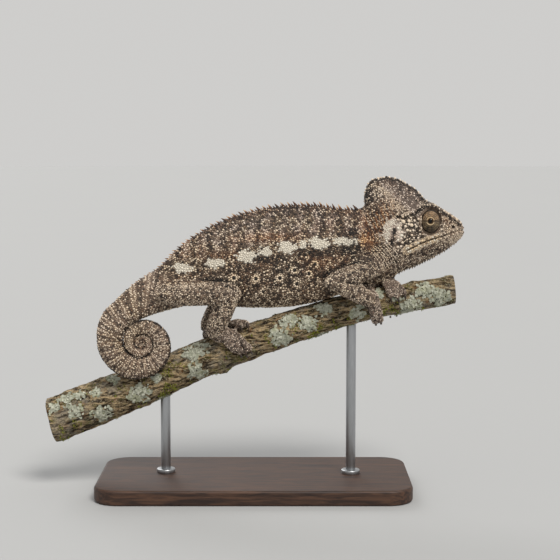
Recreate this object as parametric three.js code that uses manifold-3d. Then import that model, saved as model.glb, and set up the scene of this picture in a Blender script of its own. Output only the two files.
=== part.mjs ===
// A Malagasy giant chameleon on a cut length of branch, held by a plain display stand.
// Millimetres, +Z up. The animal faces +X, its right side is at -Y, and the stand rests on z = 0.
import * as THREE from 'three';
import { mergeVertices } from 'three/addons/utils/BufferGeometryUtils.js';
import Module from 'manifold-3d';

const wasm = await Module();
wasm.setup();

// ---------------------------------------------------------------- driving dimensions

const GAP = 0.3; // clearance between neighbouring pieces
const SLIVER = 0.09; // corners that stand out less than this are left out
const RIGHT = -1; // sign of y on the animal's right side
const LEFT = 1;

const BODY_SIDES = 16;
const TAIL_SIDES = [10, 10, 8, 6];
const LIMB_SIDES = 8;
const TOE_SIDES = 5;
const CLAW_SIDES = 4;

// The spine from the neck to the root of the tail: axis point, half height, half width.
const SPINE = [
  { name: 'throat', x: 110.4, z: 202.2, y: 0, tall: 28.2, wide: 12.5 },
  { name: 'neck', x: 96.8, z: 198.6, y: 0, tall: 31, wide: 14.2 },
  { name: 'shoulder', x: 76.8, z: 194.4, y: 0, tall: 32.6, wide: 16.5 },
  { name: 'chest', x: 56.8, z: 192.2, y: 0, tall: 37.8, wide: 18 },
  { name: 'belly', x: 28.8, z: 188.9, y: 0, tall: 41, wide: 18.6 },
  { name: 'loin', x: -3.2, z: 185, y: 0, tall: 38.8, wide: 18 },
  { name: 'flank', x: -27.2, z: 180.4, y: 0, tall: 33.4, wide: 16.5 },
  { name: 'pelvis', x: -47.2, z: 174.4, y: 0, tall: 26.2, wide: 14.5 },
  { name: 'vent', x: -67.2, z: 164.2, y: 0, tall: 18.8, wide: 12.5 },
  { name: 'root', x: -83.2, z: 157.4, y: -2, tall: 15.7, wide: 11 },
  { name: 'tailBend', x: -94.2, z: 151.4, y: -4.5, tall: 13.9, wide: 10 },
  { name: 'tailDrop', x: -104.2, z: 144.2, y: -7, tall: 12, wide: 9.2 },
];
const SPINE_RINGS_PER_SPAN = 3;
const KEEL = 0.27; // how much narrower the back is than the belly

// The tail's logarithmic coil, seen from the side.
const COIL = {
  x: -89,
  y: -14,
  z: 121,
  radius: 25.2, // centre line at 180 degrees
  shrinkPerQuarter: 0.79,
  thickness: 0.43, // half thickness over radius
  flatness: 0.82, // half width over half height
  from: 144,
  to: 1104,
  step: 20,
};
const TAIL_CUTS = [184, 324, 484, 724]; // degrees round the coil where the tail is parted

// Dorsal spines from the nape, tallest over the shoulders and smallest on the tail.
const SPINES = {
  firstX: 86,
  count: 42,
  tallest: 5.2,
  shortest: 1.2,
  spacingFront: 5.5,
  spacingRear: 4.2,
  lean: 0.35,
  root: 2, // how deep a spine is set into the back
  clear: 0.36, // from a parting of the body, in rings
};

// The head from the nape to the snout: heights of the crown and chin, and [half width, height] of
// the lateral crest, the cheek and the jaw.
const HEAD = [
  { x: 88, crown: 240.4, crest: [1.5, 238.2], cheek: [3.5, 235.5], jaw: [3, 233], chin: 231.2 },
  { x: 90, crown: 246, crest: [2.4, 240.8], cheek: [7, 230], jaw: [6, 225], chin: 221 },
  { x: 94, crown: 250, crest: [3.8, 241.8], cheek: [11.5, 221], jaw: [10, 212], chin: 207 },
  { x: 105, crown: 252.5, crest: [7.2, 236], cheek: [15.8, 205], jaw: [13.2, 183], chin: 171.6 },
  { x: 117, crown: 249.7, crest: [10.6, 229.2], cheek: [16.6, 205.5], jaw: [12.8, 184], chin: 176.4 },
  { x: 128, crown: 243.2, crest: [12.8, 226], cheek: [16.2, 204.8], jaw: [11.6, 187], chin: 180 },
  { x: 136.3, crown: 233.9, crest: [12.6, 229], cheek: [14.9, 206.5], jaw: [10.4, 191.6], chin: 183.8 },
  { x: 143, crown: 229.9, crest: [11.4, 228.8], cheek: [13.3, 207.4], jaw: [9.4, 194.6], chin: 187 },
  { x: 154.5, crown: 223.3, crest: [7.8, 222], cheek: [9.9, 209.6], jaw: [6.9, 200], chin: 194 },
  { x: 161, crown: 218.8, crest: [5.7, 217.2], cheek: [7.4, 209.6], jaw: [5.4, 203.2], chin: 198.8 },
  { x: 165, crown: 215.4, crest: [3.8, 214], cheek: [4.8, 209.3], jaw: [3.6, 205.4], chin: 202.6 },
  { x: 167, crown: 212.4, crest: [1.5, 211.6], cheek: [2, 209], jaw: [1.5, 206.8], chin: 205.6 },
];
const HEAD_RING_EVERY = 8;
const HEAD_HALF_SIDES = 10;
const CREST_THICKNESS = 1.3; // half thickness of the crest along the casque's top
const CASQUE_HOLLOW = 0.36; // how far the casque's side is drawn in towards the middle

// The closed mouth, from the snout back to its corner, and the angle of the jaw.
const MOUTH = [
  [171, 209.9],
  [163.6, 209.6],
  [157, 208],
  [149.6, 205.4],
  [139.6, 202.8],
  [134.8, 201.6],
  [127.6, 197.6],
  [120.2, 194.2],
];
const JAW_ANGLE = [107, 166];
const CASQUE_LINE = [
  [84, 229.6],
  [139, 233.6],
];

const EYE = { x: 139.3, y: 11, z: 217.3, long: 7.7, deep: 8.4, tall: 9.3, sides: 12 };
const PUPIL = { ahead: -1, up: 0.9, hole: 2.2, sides: 8 };
const EYEBALL = { radius: 4.2, recess: 0.8, sides: 10 };

// The branch: centre line and radius from its thick end to its thin end.
const BRANCH = [
  { x: -163.5, y: 7, z: 54, r: 18.2 },
  { x: -123.2, y: 6, z: 70.6, r: 17.8 },
  { x: -67.2, y: 4, z: 93.8, r: 15.4 },
  { x: -35.2, y: 1, z: 108, r: 14.6 },
  { x: -3.2, y: 0, z: 120, r: 14.2 },
  { x: 28.8, y: 0, z: 131.2, r: 13.4 },
  { x: 60.8, y: 0.6, z: 141.6, r: 12.5 },
  { x: 112, y: 0, z: 153.6, r: 11.8 },
  { x: 160, y: -1.5, z: 162.4, r: 11.4 },
];
const BRANCH_RINGS_PER_SPAN = 2;
const BRANCH_SIDES = 12;

const BASE = { length: 250, width: 116, height: 12, corner: 20, bevel: 2 };
const ROD = { radius: 4, front: 78, rear: -72, sides: 12 };

// Each limb: joints as [x, distance from the middle plane, z], half thicknesses as seen from the
// side and from the front, and the grip on the branch, where an angle of 0 is its top and positive
// angles go down the limb's own side. A bundle of toes lies from [x, angle] to [x, angle].
const LIMBS = [
  {
    name: 'foreleg_right',
    side: RIGHT,
    girth: 1,
    joints: { root: [95, 12, 181], middle: [63.6, 26, 171.2], end: [91.2, 18.6, 156] },
    upper: { from: [10.6, 8], belly: [9.8, 8.2], to: [9.2, 7.6] },
    lower: { from: [8.6, 7.2], belly: [9.8, 8], to: [7, 6.4] },
    palm: { at: 95, angle: 62, radius: 6.8 },
    outer: { toes: 2, from: [95.4, 72], to: [96.2, 164], spread: [4.6, 4.2] },
    inner: { toes: 3, from: [92.4, 34], to: [94, -36], spread: [4.2, 4] },
  },
  {
    name: 'foreleg_left',
    side: LEFT,
    girth: 0.84,
    joints: { root: [92, 12, 181], middle: [70, 27, 168.6], end: [101.6, 18.6, 163.4] },
    upper: { from: [10.4, 8], belly: [9.4, 8], to: [7.6, 7] },
    lower: { from: [7.2, 6.6], belly: [7.4, 6.8], to: [6, 5.8] },
    palm: { at: 106, angle: 44, radius: 6 },
    outer: { toes: 2, from: [108, 62], to: [109.4, 150], spread: [4.2, 5] },
    inner: { toes: 3, from: [110, 24], to: [115, -76], spread: [4.2, 5.6] },
  },
  {
    name: 'hindleg_right',
    side: RIGHT,
    girth: 1.06,
    joints: { root: [-67, 11, 159.4], middle: [-18.2, 25, 161.6], end: [-30.4, 19, 132.8] },
    upper: { from: [12.8, 9], belly: [13.8, 10], to: [9.6, 8.8] },
    lower: { from: [9.2, 8.2], belly: [10.8, 9], to: [8.6, 7.8] },
    palm: { at: -20.5, angle: 38, radius: 7.8 },
    outer: { toes: 3, from: [-17.4, 36], to: [-7.8, 106], spread: [4.9, 4] },
    inner: { toes: 2, from: [-27.6, 16], to: [-31.5, -24], spread: [4.8, 4.6] },
  },
  {
    name: 'hindleg_left',
    side: LEFT,
    girth: 1,
    joints: { root: [-67, 11, 159.4], middle: [-22.6, 25, 158.6], end: [-37.4, 20, 131] },
    upper: { from: [12.8, 9], belly: [13, 9.8], to: [9.2, 8.4] },
    lower: { from: [8.8, 8], belly: [9.8, 8.6], to: [8.2, 7.4] },
    palm: { at: -18, angle: 50, radius: 7.2 },
    outer: { toes: 3, from: [-14.6, 60], to: [-6.6, 126], spread: [4.8, 4.4] },
    inner: { toes: 2, from: [-12, 30], to: [-2.6, -30], spread: [4.8, 5] },
  },
];
const TOE = { root: 3.4, knuckle: 3.3, tip: 2.7, press: 0.82, arch: 0.6, rings: 5, free: 2 };
const CLAW = { length: 4.2, root: 1.1, tip: 0.3, rings: 2, hook: 0.75 };

// ---------------------------------------------------------------- materials

const SKIN = new THREE.MeshStandardMaterial({ color: 0x6d5f53, roughness: 0.8 });
const LEG_SKIN = new THREE.MeshStandardMaterial({ color: 0x857669, roughness: 0.8 });
const EYELID = new THREE.MeshStandardMaterial({ color: 0x6b5a45, roughness: 0.7 });
const EYE_GLASS = new THREE.MeshStandardMaterial({ color: 0x120d0a, roughness: 0.1 });
const HORN = new THREE.MeshStandardMaterial({ color: 0x3a3029, roughness: 0.45 });
const BARK = new THREE.MeshStandardMaterial({ color: 0x6b5848, roughness: 0.9 });
const STAND_BOARD = new THREE.MeshStandardMaterial({ color: 0x2b2523, roughness: 0.5 });
const STEEL = new THREE.MeshStandardMaterial({ color: 0x8d8f92, roughness: 0.35, metalness: 1 });

// ---------------------------------------------------------------- curves and solids

const mix = (a, b, share) => a + (b - a) * share;
const radians = THREE.MathUtils.degToRad;

// A smooth curve of one value through knots [[x, value], ...] at uneven distances.
function smoothLine(knots) {
  const slopeAt = (i) => {
    const before = knots[Math.max(i - 1, 0)];
    const after = knots[Math.min(i + 1, knots.length - 1)];
    return (after[1] - before[1]) / (after[0] - before[0]);
  };
  return (x) => {
    let i = 0;
    while (i < knots.length - 2 && x > knots[i + 1][0]) i += 1;
    const span = knots[i + 1][0] - knots[i][0];
    const s = THREE.MathUtils.clamp((x - knots[i][0]) / span, 0, 1);
    const rise = knots[i + 1][1] - knots[i][1];
    const bendIn = slopeAt(i) * span - rise;
    const bendOut = rise - slopeAt(i + 1) * span;
    return knots[i][1] + rise * s + s * (1 - s) * (bendIn * (1 - s) + bendOut * s);
  };
}

// A manifold solid from a closed three.js geometry, turned to face outwards.
function solidOf(geometry) {
  const bare = geometry.clone();
  bare.deleteAttribute('normal');
  bare.deleteAttribute('uv');
  const merged = mergeVertices(bare, 1e-4);
  const vertProperties = new Float32Array(merged.attributes.position.array);
  const corners = Array.from(merged.index.array);
  const make = (order) => {
    const triVerts = new Uint32Array(order);
    return new wasm.Manifold(new wasm.Mesh({ numProp: 3, vertProperties, triVerts }));
  };
  const made = make(corners);
  return made.volume() > 0 ? made : make(corners.reverse());
}

// The biggest body of a solid that a cut may have left in pieces.
function biggest(solid) {
  const bodies = solid.decompose();
  return bodies.reduce((best, body) => (body.volume() > best.volume() ? body : best));
}

// A closed skin over rows of rings. pointAt(row, angle, out) places a point of ring number row.
function skinOver(rows, sides, pointAt) {
  const geometry = new THREE.CylinderGeometry(1, 1, 1, sides, rows - 1);
  const position = geometry.attributes.position;
  const point = new THREE.Vector3();
  const centres = new Map();
  const centreOf = (row) => {
    if (!centres.has(row)) {
      const sum = new THREE.Vector3();
      for (let i = 0; i < sides; i += 1) sum.add(pointAt(row, (i / sides) * 2 * Math.PI, point));
      centres.set(row, sum.divideScalar(sides));
    }
    return centres.get(row);
  };
  for (let i = 0; i < position.count; i += 1) {
    const row = Math.round((0.5 - position.getY(i)) * (rows - 1));
    const radius = Math.hypot(position.getX(i), position.getZ(i));
    const turn = Math.round((Math.atan2(position.getX(i), position.getZ(i)) / (2 * Math.PI)) * sides);
    const angle = (((turn + sides) % sides) / sides) * 2 * Math.PI;
    if (radius < 0.5) point.copy(centreOf(row));
    else pointAt(row, angle, point);
    position.setXYZ(i, point.x, point.y, point.z);
  }
  return solidOf(geometry);
}

// Rings hold a centre, the directions up and out, and half sizes. section gives their outline.
const roundSection = (angle) => [Math.sin(angle), Math.cos(angle)];
const bodySection = (angle) => [Math.sin(angle) * (1 - KEEL * Math.cos(angle)), Math.cos(angle)];

function sweepRings(rings, sides, section = roundSection, grow = 0) {
  return skinOver(rings.length, sides, (row, angle, out) => {
    const ring = rings[row];
    const [across, along] = section(angle);
    return out
      .copy(ring.centre)
      .addScaledVector(ring.out, across * (ring.wide + grow))
      .addScaledVector(ring.up, along * (ring.tall + grow));
  });
}

// Turns a row of centres with sizes into rings, each square to the path.
function ringsAlong(path, upOf) {
  return path.map((station, i) => {
    const before = path[Math.max(i - 1, 0)].centre;
    const after = path[Math.min(i + 1, path.length - 1)].centre;
    const ahead = after.clone().sub(before).normalize();
    const out = new THREE.Vector3().crossVectors(ahead, upOf(ahead, station)).normalize();
    const up = new THREE.Vector3().crossVectors(out, ahead).normalize();
    return { ...station, ahead, out, up };
  });
}

// The same rings with both ends moved along the path: drawn in if the distance is negative.
function stretched(rings, distance) {
  const moved = rings.map((ring) => ({ ...ring, centre: ring.centre.clone() }));
  moved[0].centre.addScaledVector(rings[0].ahead, -distance);
  moved.at(-1).centre.addScaledVector(rings.at(-1).ahead, distance);
  return moved;
}

// ---------------------------------------------------------------- neck, trunk and tail

const coilRadius = (degrees) => COIL.radius * COIL.shrinkPerQuarter ** ((degrees - 180) / 90);

function coilStation(degrees) {
  const radius = coilRadius(degrees);
  const settle = THREE.MathUtils.smoothstep(degrees, COIL.from - 30, COIL.from + 60);
  const tall = radius * COIL.thickness - GAP / 2;
  return {
    degrees,
    centre: new THREE.Vector3(
      COIL.x + radius * Math.cos(radians(degrees)),
      mix(-7, COIL.y, settle),
      COIL.z + radius * Math.sin(radians(degrees)),
    ),
    tall,
    wide: tall * COIL.flatness,
  };
}

function spineStations() {
  const knots = SPINE.map((s) => ({ ...s, centre: new THREE.Vector3(s.x, s.y, s.z) }));
  const landing = [coilStation(COIL.from), coilStation(COIL.from + COIL.step)];
  const all = [...knots, ...landing];
  const curve = new THREE.CatmullRomCurve3(all.map((s) => s.centre), false, 'centripetal');
  const tallAt = smoothLine(all.map((s, i) => [i, s.tall]));
  const wideAt = smoothLine(all.map((s, i) => [i, s.wide]));
  const stations = [];
  for (let i = 0; i < knots.length * SPINE_RINGS_PER_SPAN; i += 1) {
    const at = i / SPINE_RINGS_PER_SPAN;
    stations.push({
      name: i % SPINE_RINGS_PER_SPAN ? '' : knots[at].name,
      centre: curve.getPoint(at / (all.length - 1)),
      tall: tallAt(at),
      wide: wideAt(at),
    });
  }
  for (let degrees = COIL.from; degrees <= COIL.to; degrees += COIL.step) {
    stations.push(coilStation(degrees));
  }
  return stations;
}

// The back is on the left of the way from head to tail, and so outside the coil.
const backwards = (ahead) => new THREE.Vector3(ahead.z, 0, -ahead.x);
const spineRings = ringsAlong(spineStations(), backwards);
const ringNamed = (name) => spineRings.findIndex((ring) => ring.name === name);
const ringAtDegrees = (degrees) => spineRings.findIndex((ring) => ring.degrees === degrees);

const bodyPiece = (from, to, sides, section, grow = 0) =>
  sweepRings(stretched(spineRings.slice(from, to + 1), grow - GAP / 2), sides, section, grow);

const wholeBodyGrown = bodyPiece(0, ringAtDegrees(TAIL_CUTS[0]), BODY_SIDES, bodySection, GAP);

// A spine is a pyramid on the ridge of the back, leaning towards the tail. Each keeps the number of
// the ring before it.
function placeSpines() {
  const ridge = spineRings.map((ring) => ring.centre.clone().addScaledVector(ring.up, ring.tall));
  const spines = [];
  let i = ridge.findIndex((point) => point.x < SPINES.firstX);
  let walked = 0;
  let next = 0;
  while (spines.length < SPINES.count) {
    const span = ridge[i + 1].distanceTo(ridge[i]);
    while (walked + span > next && spines.length < SPINES.count) {
      const share = spines.length / (SPINES.count - 1);
      const uneven = spines.length % 2 ? 1 : 0.86;
      spines.push({
        ring: i + (next - walked) / span,
        foot: ridge[i].clone().lerp(ridge[i + 1], (next - walked) / span),
        height: mix(SPINES.tallest, SPINES.shortest, share ** 1.15) * uneven,
        lean: spineRings[i].up.clone().addScaledVector(spineRings[i].ahead, SPINES.lean).normalize(),
      });
      next += mix(SPINES.spacingFront, SPINES.spacingRear, share);
    }
    walked += span;
    i += 1;
  }
  return spines;
}

function spineSolid({ foot, height, lean }) {
  const whole = height + SPINES.root;
  const cone = new THREE.ConeGeometry(0.42 * height + 0.5, whole, 4);
  cone.translate(0, whole / 2 - SPINES.root, 0);
  cone.applyQuaternion(new THREE.Quaternion().setFromUnitVectors(new THREE.Vector3(0, 1, 0), lean));
  cone.translate(foot.x, foot.y, foot.z);
  return solidOf(cone);
}

const spines = placeSpines();

// The piece between two rings, with the spines that grow from it.
function spinyPiece(from, to, sides, section) {
  const own = spines.filter(({ ring }) => ring > from + SPINES.clear && ring < to - SPINES.clear);
  return own.reduce((sum, spine) => sum.add(spineSolid(spine)), bodyPiece(from, to, sides, section));
}

// ---------------------------------------------------------------- head

const headLine = (pick) => smoothLine(HEAD.map((s) => [s.x, pick(s)]));
const headLines = {
  crown: headLine((s) => s.crown),
  chin: headLine((s) => s.chin),
  crestWide: headLine((s) => s.crest[0]),
  crest: headLine((s) => s.crest[1]),
  cheekWide: headLine((s) => s.cheek[0]),
  cheek: headLine((s) => s.cheek[1]),
  jawWide: headLine((s) => s.jaw[0]),
  jaw: headLine((s) => s.jaw[1]),
};

// Half of the head's outline at x, from the crown down to the chin, as [distance out, height].
function headOutline(x, grow) {
  const at = Object.fromEntries(Object.entries(headLines).map(([name, line]) => [name, line(x)]));
  const helmet = THREE.MathUtils.smoothstep(at.crown - at.crest, 3, 16);
  const rim = Math.min(CREST_THICKNESS, at.crestWide * 0.4);
  const face = mix(0.55, CASQUE_HOLLOW, helmet);
  const points = [
    [0, at.crown + grow],
    [rim + grow, mix(at.crown, at.crest, 0.06)],
    [mix(rim, at.crestWide, face) + grow, mix(at.crown, at.crest, 0.55)],
    [at.crestWide + grow, at.crest],
    [mix(at.crestWide, at.cheekWide, 0.72) + grow, mix(at.crest, at.cheek, 0.36)],
    [at.cheekWide + grow, at.cheek],
    [at.jawWide + grow, at.jaw - grow / 2],
    [0, at.chin - grow],
  ];
  return new THREE.CatmullRomCurve3(points.map(([y, z]) => new THREE.Vector3(0, y, z)));
}

function headSolid(grow = 0) {
  const places = [];
  for (let i = 0; i < HEAD.length - 1; i += 1) {
    const span = HEAD[i + 1].x - HEAD[i].x;
    const parts = Math.max(1, Math.round(span / HEAD_RING_EVERY));
    for (let j = 0; j < parts; j += 1) places.push(HEAD[i].x + (span * j) / parts);
  }
  places.push(HEAD.at(-1).x);
  const outlines = places.map((x) => headOutline(x, grow));
  const half = HEAD_HALF_SIDES;
  const ends = { 0: -grow, [places.length - 1]: grow };
  return skinOver(places.length, 2 * half, (row, angle, out) => {
    const step = Math.round((angle / Math.PI) * half);
    const share = step <= half ? step / half : (2 * half - step) / half;
    outlines[row].getPoint(share, out);
    out.x = places[row] + (ends[row] ?? 0);
    if (step > half) out.y = -out.y;
    return out;
  });
}

// A block through the whole head with the given side outline, x and z.
function headBlock(outline) {
  const depth = 60;
  const block = new THREE.ExtrudeGeometry(outline, { depth, bevelEnabled: false, curveSegments: 10 });
  block.translate(0, 0, -depth / 2);
  block.rotateX(Math.PI / 2);
  return solidOf(block);
}

function jawBlock(lift) {
  const outline = new THREE.Shape();
  outline.moveTo(MOUTH[0][0], MOUTH[0][1] + lift);
  MOUTH.slice(1).forEach(([x, z]) => outline.lineTo(x - lift / 2, z + lift));
  outline.lineTo(JAW_ANGLE[0] - lift, JAW_ANGLE[1]);
  outline.lineTo(MOUTH[0][0], JAW_ANGLE[1]);
  return headBlock(outline);
}

function casqueBlock(drop) {
  const outline = new THREE.Shape();
  outline.moveTo(CASQUE_LINE[0][0], CASQUE_LINE[0][1] - drop);
  outline.lineTo(CASQUE_LINE[1][0], CASQUE_LINE[1][1] - drop);
  outline.lineTo(CASQUE_LINE[1][0], CASQUE_LINE[1][1] + 40);
  outline.lineTo(CASQUE_LINE[0][0], CASQUE_LINE[0][1] + 40);
  return headBlock(outline);
}

function ellipsoid(x, y, z, long, deep, tall, sides) {
  const ball = new THREE.SphereGeometry(1, sides, sides / 2);
  ball.scale(long, deep, tall);
  ball.translate(x, y, z);
  return solidOf(ball);
}

// The fused, cone-like eyelids. A small opening in their middle lets the eyeball look out.
function eyeTurret(side, grow = 0) {
  const { x, y, z, long, deep, tall, sides } = EYE;
  return ellipsoid(x, side * y, z, long + grow, deep + grow, tall + grow, sides);
}

function eyeball(side, grow = 0) {
  const depth = EYE.y + EYE.deep - EYEBALL.recess - EYEBALL.radius;
  const radius = EYEBALL.radius + grow;
  const { ahead, up } = PUPIL;
  return ellipsoid(EYE.x + ahead, side * depth, EYE.z + up, radius, radius, radius, EYEBALL.sides);
}

function pupilHole(side) {
  const hole = new THREE.CylinderGeometry(PUPIL.hole, PUPIL.hole, EYE.deep, PUPIL.sides);
  hole.translate(EYE.x + PUPIL.ahead, side * (EYE.y + EYE.deep), EYE.z + PUPIL.up);
  return solidOf(hole);
}

// ---------------------------------------------------------------- branch

const branchLines = {
  y: smoothLine(BRANCH.map((s) => [s.x, s.y])),
  z: smoothLine(BRANCH.map((s) => [s.x, s.z])),
  r: smoothLine(BRANCH.map((s) => [s.x, s.r])),
};

// The branch's frame at x: centre, direction and the two directions across it.
function branchFrame(x) {
  const centreAt = (at) => new THREE.Vector3(at, branchLines.y(at), branchLines.z(at));
  const ahead = centreAt(x + 1).sub(centreAt(x - 1)).normalize();
  const near = new THREE.Vector3().crossVectors(ahead, new THREE.Vector3(0, 0, 1)).normalize();
  const up = new THREE.Vector3().crossVectors(near, ahead).normalize();
  return { centre: centreAt(x), ahead, near, up, radius: branchLines.r(x) };
}

// A point over the bark. Angle 0 is the top, and 90 degrees is the side at -Y.
function overBark(x, degrees, lift) {
  const frame = branchFrame(x);
  const reach = frame.radius + lift;
  return frame.centre
    .addScaledVector(frame.up, reach * Math.cos(radians(degrees)))
    .addScaledVector(frame.near, reach * Math.sin(radians(degrees)));
}

function branchSolid(grow = 0) {
  const path = [];
  const spans = BRANCH.length - 1;
  for (let i = 0; i <= spans * BRANCH_RINGS_PER_SPAN; i += 1) {
    const span = Math.min(Math.floor(i / BRANCH_RINGS_PER_SPAN), spans - 1);
    const share = i / BRANCH_RINGS_PER_SPAN - span;
    const x = mix(BRANCH[span].x, BRANCH[span + 1].x, share);
    const frame = branchFrame(x);
    path.push({ centre: frame.centre, tall: frame.radius, wide: frame.radius });
  }
  const rings = ringsAlong(path, () => new THREE.Vector3(0, 0, 1));
  return sweepRings(stretched(rings, grow), BRANCH_SIDES, roundSection, grow);
}

// ---------------------------------------------------------------- limbs

// Limbs are measured as seen from the side, so tall lies across the limb in the x-z plane.
const turnedSection = (angle) => [Math.cos(angle), Math.sin(angle)];

// A limb bone's length of flesh: a belly between two round ends, which are centred on its joints.
function limbSegment(from, to, sizes, grow = 0) {
  const length = from.distanceTo(to);
  const along = to.clone().sub(from).normalize();
  const cap = 0.86;
  const atCap = Math.sqrt(1 - cap ** 2);
  const stations = [
    { walk: -cap * sizes.from[0], share: 0, fullness: atCap },
    ...[0, 0.3, 0.7, 1].map((share) => ({ walk: share * length, share, fullness: 1 })),
    { walk: length + cap * sizes.to[0], share: 1, fullness: atCap },
  ];
  const sizeAt = (axis, { share, fullness }) => {
    const straight = mix(sizes.from[axis], sizes.to[axis], share);
    const middle = (sizes.from[axis] + sizes.to[axis]) / 2;
    return (straight + (sizes.belly[axis] - middle) * 4 * share * (1 - share)) * fullness;
  };
  const path = stations.map((station) => ({
    centre: from.clone().addScaledVector(along, station.walk),
    tall: sizeAt(0, station),
    wide: sizeAt(1, station),
  }));
  const rings = ringsAlong(path, () => new THREE.Vector3(0, 1, 0));
  return sweepRings(stretched(rings, grow), LIMB_SIDES, turnedSection, grow);
}

const limbPoint = ([x, out, z], side) => new THREE.Vector3(x, side * out, z);
const gripAngle = (limb, angle) => -limb.side * angle;

function palmSolid(limb, grow = 0) {
  const { at, angle, radius } = limb.palm;
  const ankle = limbPoint(limb.joints.end, limb.side);
  const sole = overBark(at, gripAngle(limb, angle), radius * 0.55);
  const sizes = { from: [radius, radius], belly: [radius * 1.04, radius * 1.1], to: [radius, radius] };
  return limbSegment(ankle, sole, sizes, grow);
}

const slimness = smoothLine([[0, TOE.root], [0.5, TOE.knuckle], [1, TOE.tip]]);

// The path of a toe of a bundle, from its root over the bark to its tip. Toes are counted from the
// bundle's middle, so the path of toe 0 is the middle of the bundle.
function toePath(limb, bundle, fromMiddle) {
  const reach = 1 - 0.07 * Math.abs(fromMiddle);
  const stations = [];
  for (let row = 0; row < TOE.rings; row += 1) {
    const share = row / (TOE.rings - 1);
    const size = slimness(share) * limb.girth;
    const arch = TOE.arch * Math.sin(Math.PI * share);
    const x = mix(bundle.from[0], bundle.to[0], share) + fromMiddle * mix(...bundle.spread, share);
    const degrees = mix(bundle.from[1], bundle.to[1], share * reach);
    const centre = overBark(x, gripAngle(limb, degrees), size * TOE.press + arch);
    stations.push({ x, degrees, centre, tall: size, wide: size });
  }
  return stations;
}

const toeNumbers = (bundle) => Array.from({ length: bundle.toes }, (_, i) => i - (bundle.toes - 1) / 2);
const alongBranch = () => new THREE.Vector3(1, 0, 0.01);

// Toes are fused into a pad, and only their last joints are free.
function toeBundle(limb, bundle, grow = 0) {
  const outermost = (bundle.toes - 1) / 2;
  const pad = toePath(limb, bundle, 0).slice(0, TOE.rings - 1);
  pad.forEach((station, row) => {
    station.tall += outermost * mix(...bundle.spread, row / (TOE.rings - 1));
  });
  const padRings = ringsAlong(pad, alongBranch);
  const padSolid = sweepRings(stretched(padRings, grow), LIMB_SIDES, roundSection, grow);
  return toeNumbers(bundle).reduce((sum, number) => {
    const stations = toePath(limb, bundle, number).slice(-TOE.free);
    stations.push(roundTip(stations));
    const rings = ringsAlong(stations, alongBranch);
    return sum.add(sweepRings(stretched(rings, grow), TOE_SIDES, roundSection, grow));
  }, padSolid);
}

// A smaller last ring that rounds a toe's end.
function roundTip(stations) {
  const last = stations.at(-1);
  const ahead = last.centre.clone().sub(stations.at(-2).centre).normalize();
  const size = last.tall * 0.55;
  return { centre: last.centre.clone().addScaledVector(ahead, last.tall * 0.6), tall: size, wide: size };
}

// A claw leaves the toe's upper side and hooks down to the bark.
function clawSolid(limb, bundle, number) {
  const stations = toePath(limb, bundle, number);
  const tip = stations.at(-1);
  const turn = Math.sign(bundle.to[1] - bundle.from[1]);
  const frame = branchFrame(tip.x);
  const perDegree = radians(1) * (frame.radius + 2);
  const path = [];
  for (let row = 0; row <= CLAW.rings; row += 1) {
    const share = row / CLAW.rings;
    const walked = tip.tall * 0.6 + 2.4 * GAP + share * CLAW.length;
    const degrees = tip.degrees + (turn * walked) / perDegree;
    const lift = mix(tip.tall * 1.5, 0.35, share ** (1 / CLAW.hook));
    const size = mix(CLAW.root, CLAW.tip, share);
    path.push({ centre: overBark(tip.x, gripAngle(limb, degrees), lift), tall: size, wide: size });
  }
  return sweepRings(ringsAlong(path, alongBranch), CLAW_SIDES);
}

// ---------------------------------------------------------------- stand

function standBase() {
  const { length, width, height, corner, bevel } = BASE;
  const halfLength = length / 2 - bevel;
  const halfWidth = width / 2 - bevel;
  const radius = corner - bevel;
  const outline = new THREE.Shape();
  outline.absarc(halfLength - radius, halfWidth - radius, radius, 0, Math.PI / 2);
  outline.absarc(radius - halfLength, halfWidth - radius, radius, Math.PI / 2, Math.PI);
  outline.absarc(radius - halfLength, radius - halfWidth, radius, Math.PI, 1.5 * Math.PI);
  outline.absarc(halfLength - radius, radius - halfWidth, radius, 1.5 * Math.PI, 2 * Math.PI);
  const plate = new THREE.ExtrudeGeometry(outline, {
    depth: height - 2 * bevel,
    bevelSize: bevel,
    bevelThickness: bevel,
    bevelSegments: 1,
    curveSegments: 3,
  });
  plate.translate(0, 0, bevel);
  return solidOf(plate);
}

function standRod(x, perchGrown) {
  const top = branchLines.z(x);
  const length = top - BASE.height - GAP;
  const rod = new THREE.CylinderGeometry(ROD.radius, ROD.radius, length, ROD.sides);
  rod.rotateX(Math.PI / 2);
  rod.translate(x, branchLines.y(x), BASE.height + GAP + length / 2);
  return biggest(solidOf(rod).subtract(perchGrown));
}

// ---------------------------------------------------------------- assembly

const chameleon = new THREE.Group();

function addNode(name, solid, material) {
  const { vertProperties, triVerts, numProp } = solid.simplify(SLIVER).getMesh();
  const geometry = new THREE.BufferGeometry();
  const corners = new Float32Array((vertProperties.length / numProp) * 3);
  for (let i = 0; i < corners.length / 3; i += 1) {
    corners.set(vertProperties.subarray(i * numProp, i * numProp + 3), i * 3);
  }
  geometry.setAttribute('position', new THREE.BufferAttribute(corners, 3));
  geometry.setIndex(new THREE.BufferAttribute(triVerts, 1));
  geometry.computeVertexNormals();
  const mesh = new THREE.Mesh(geometry, material);
  mesh.name = name;
  chameleon.add(mesh);
}

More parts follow.
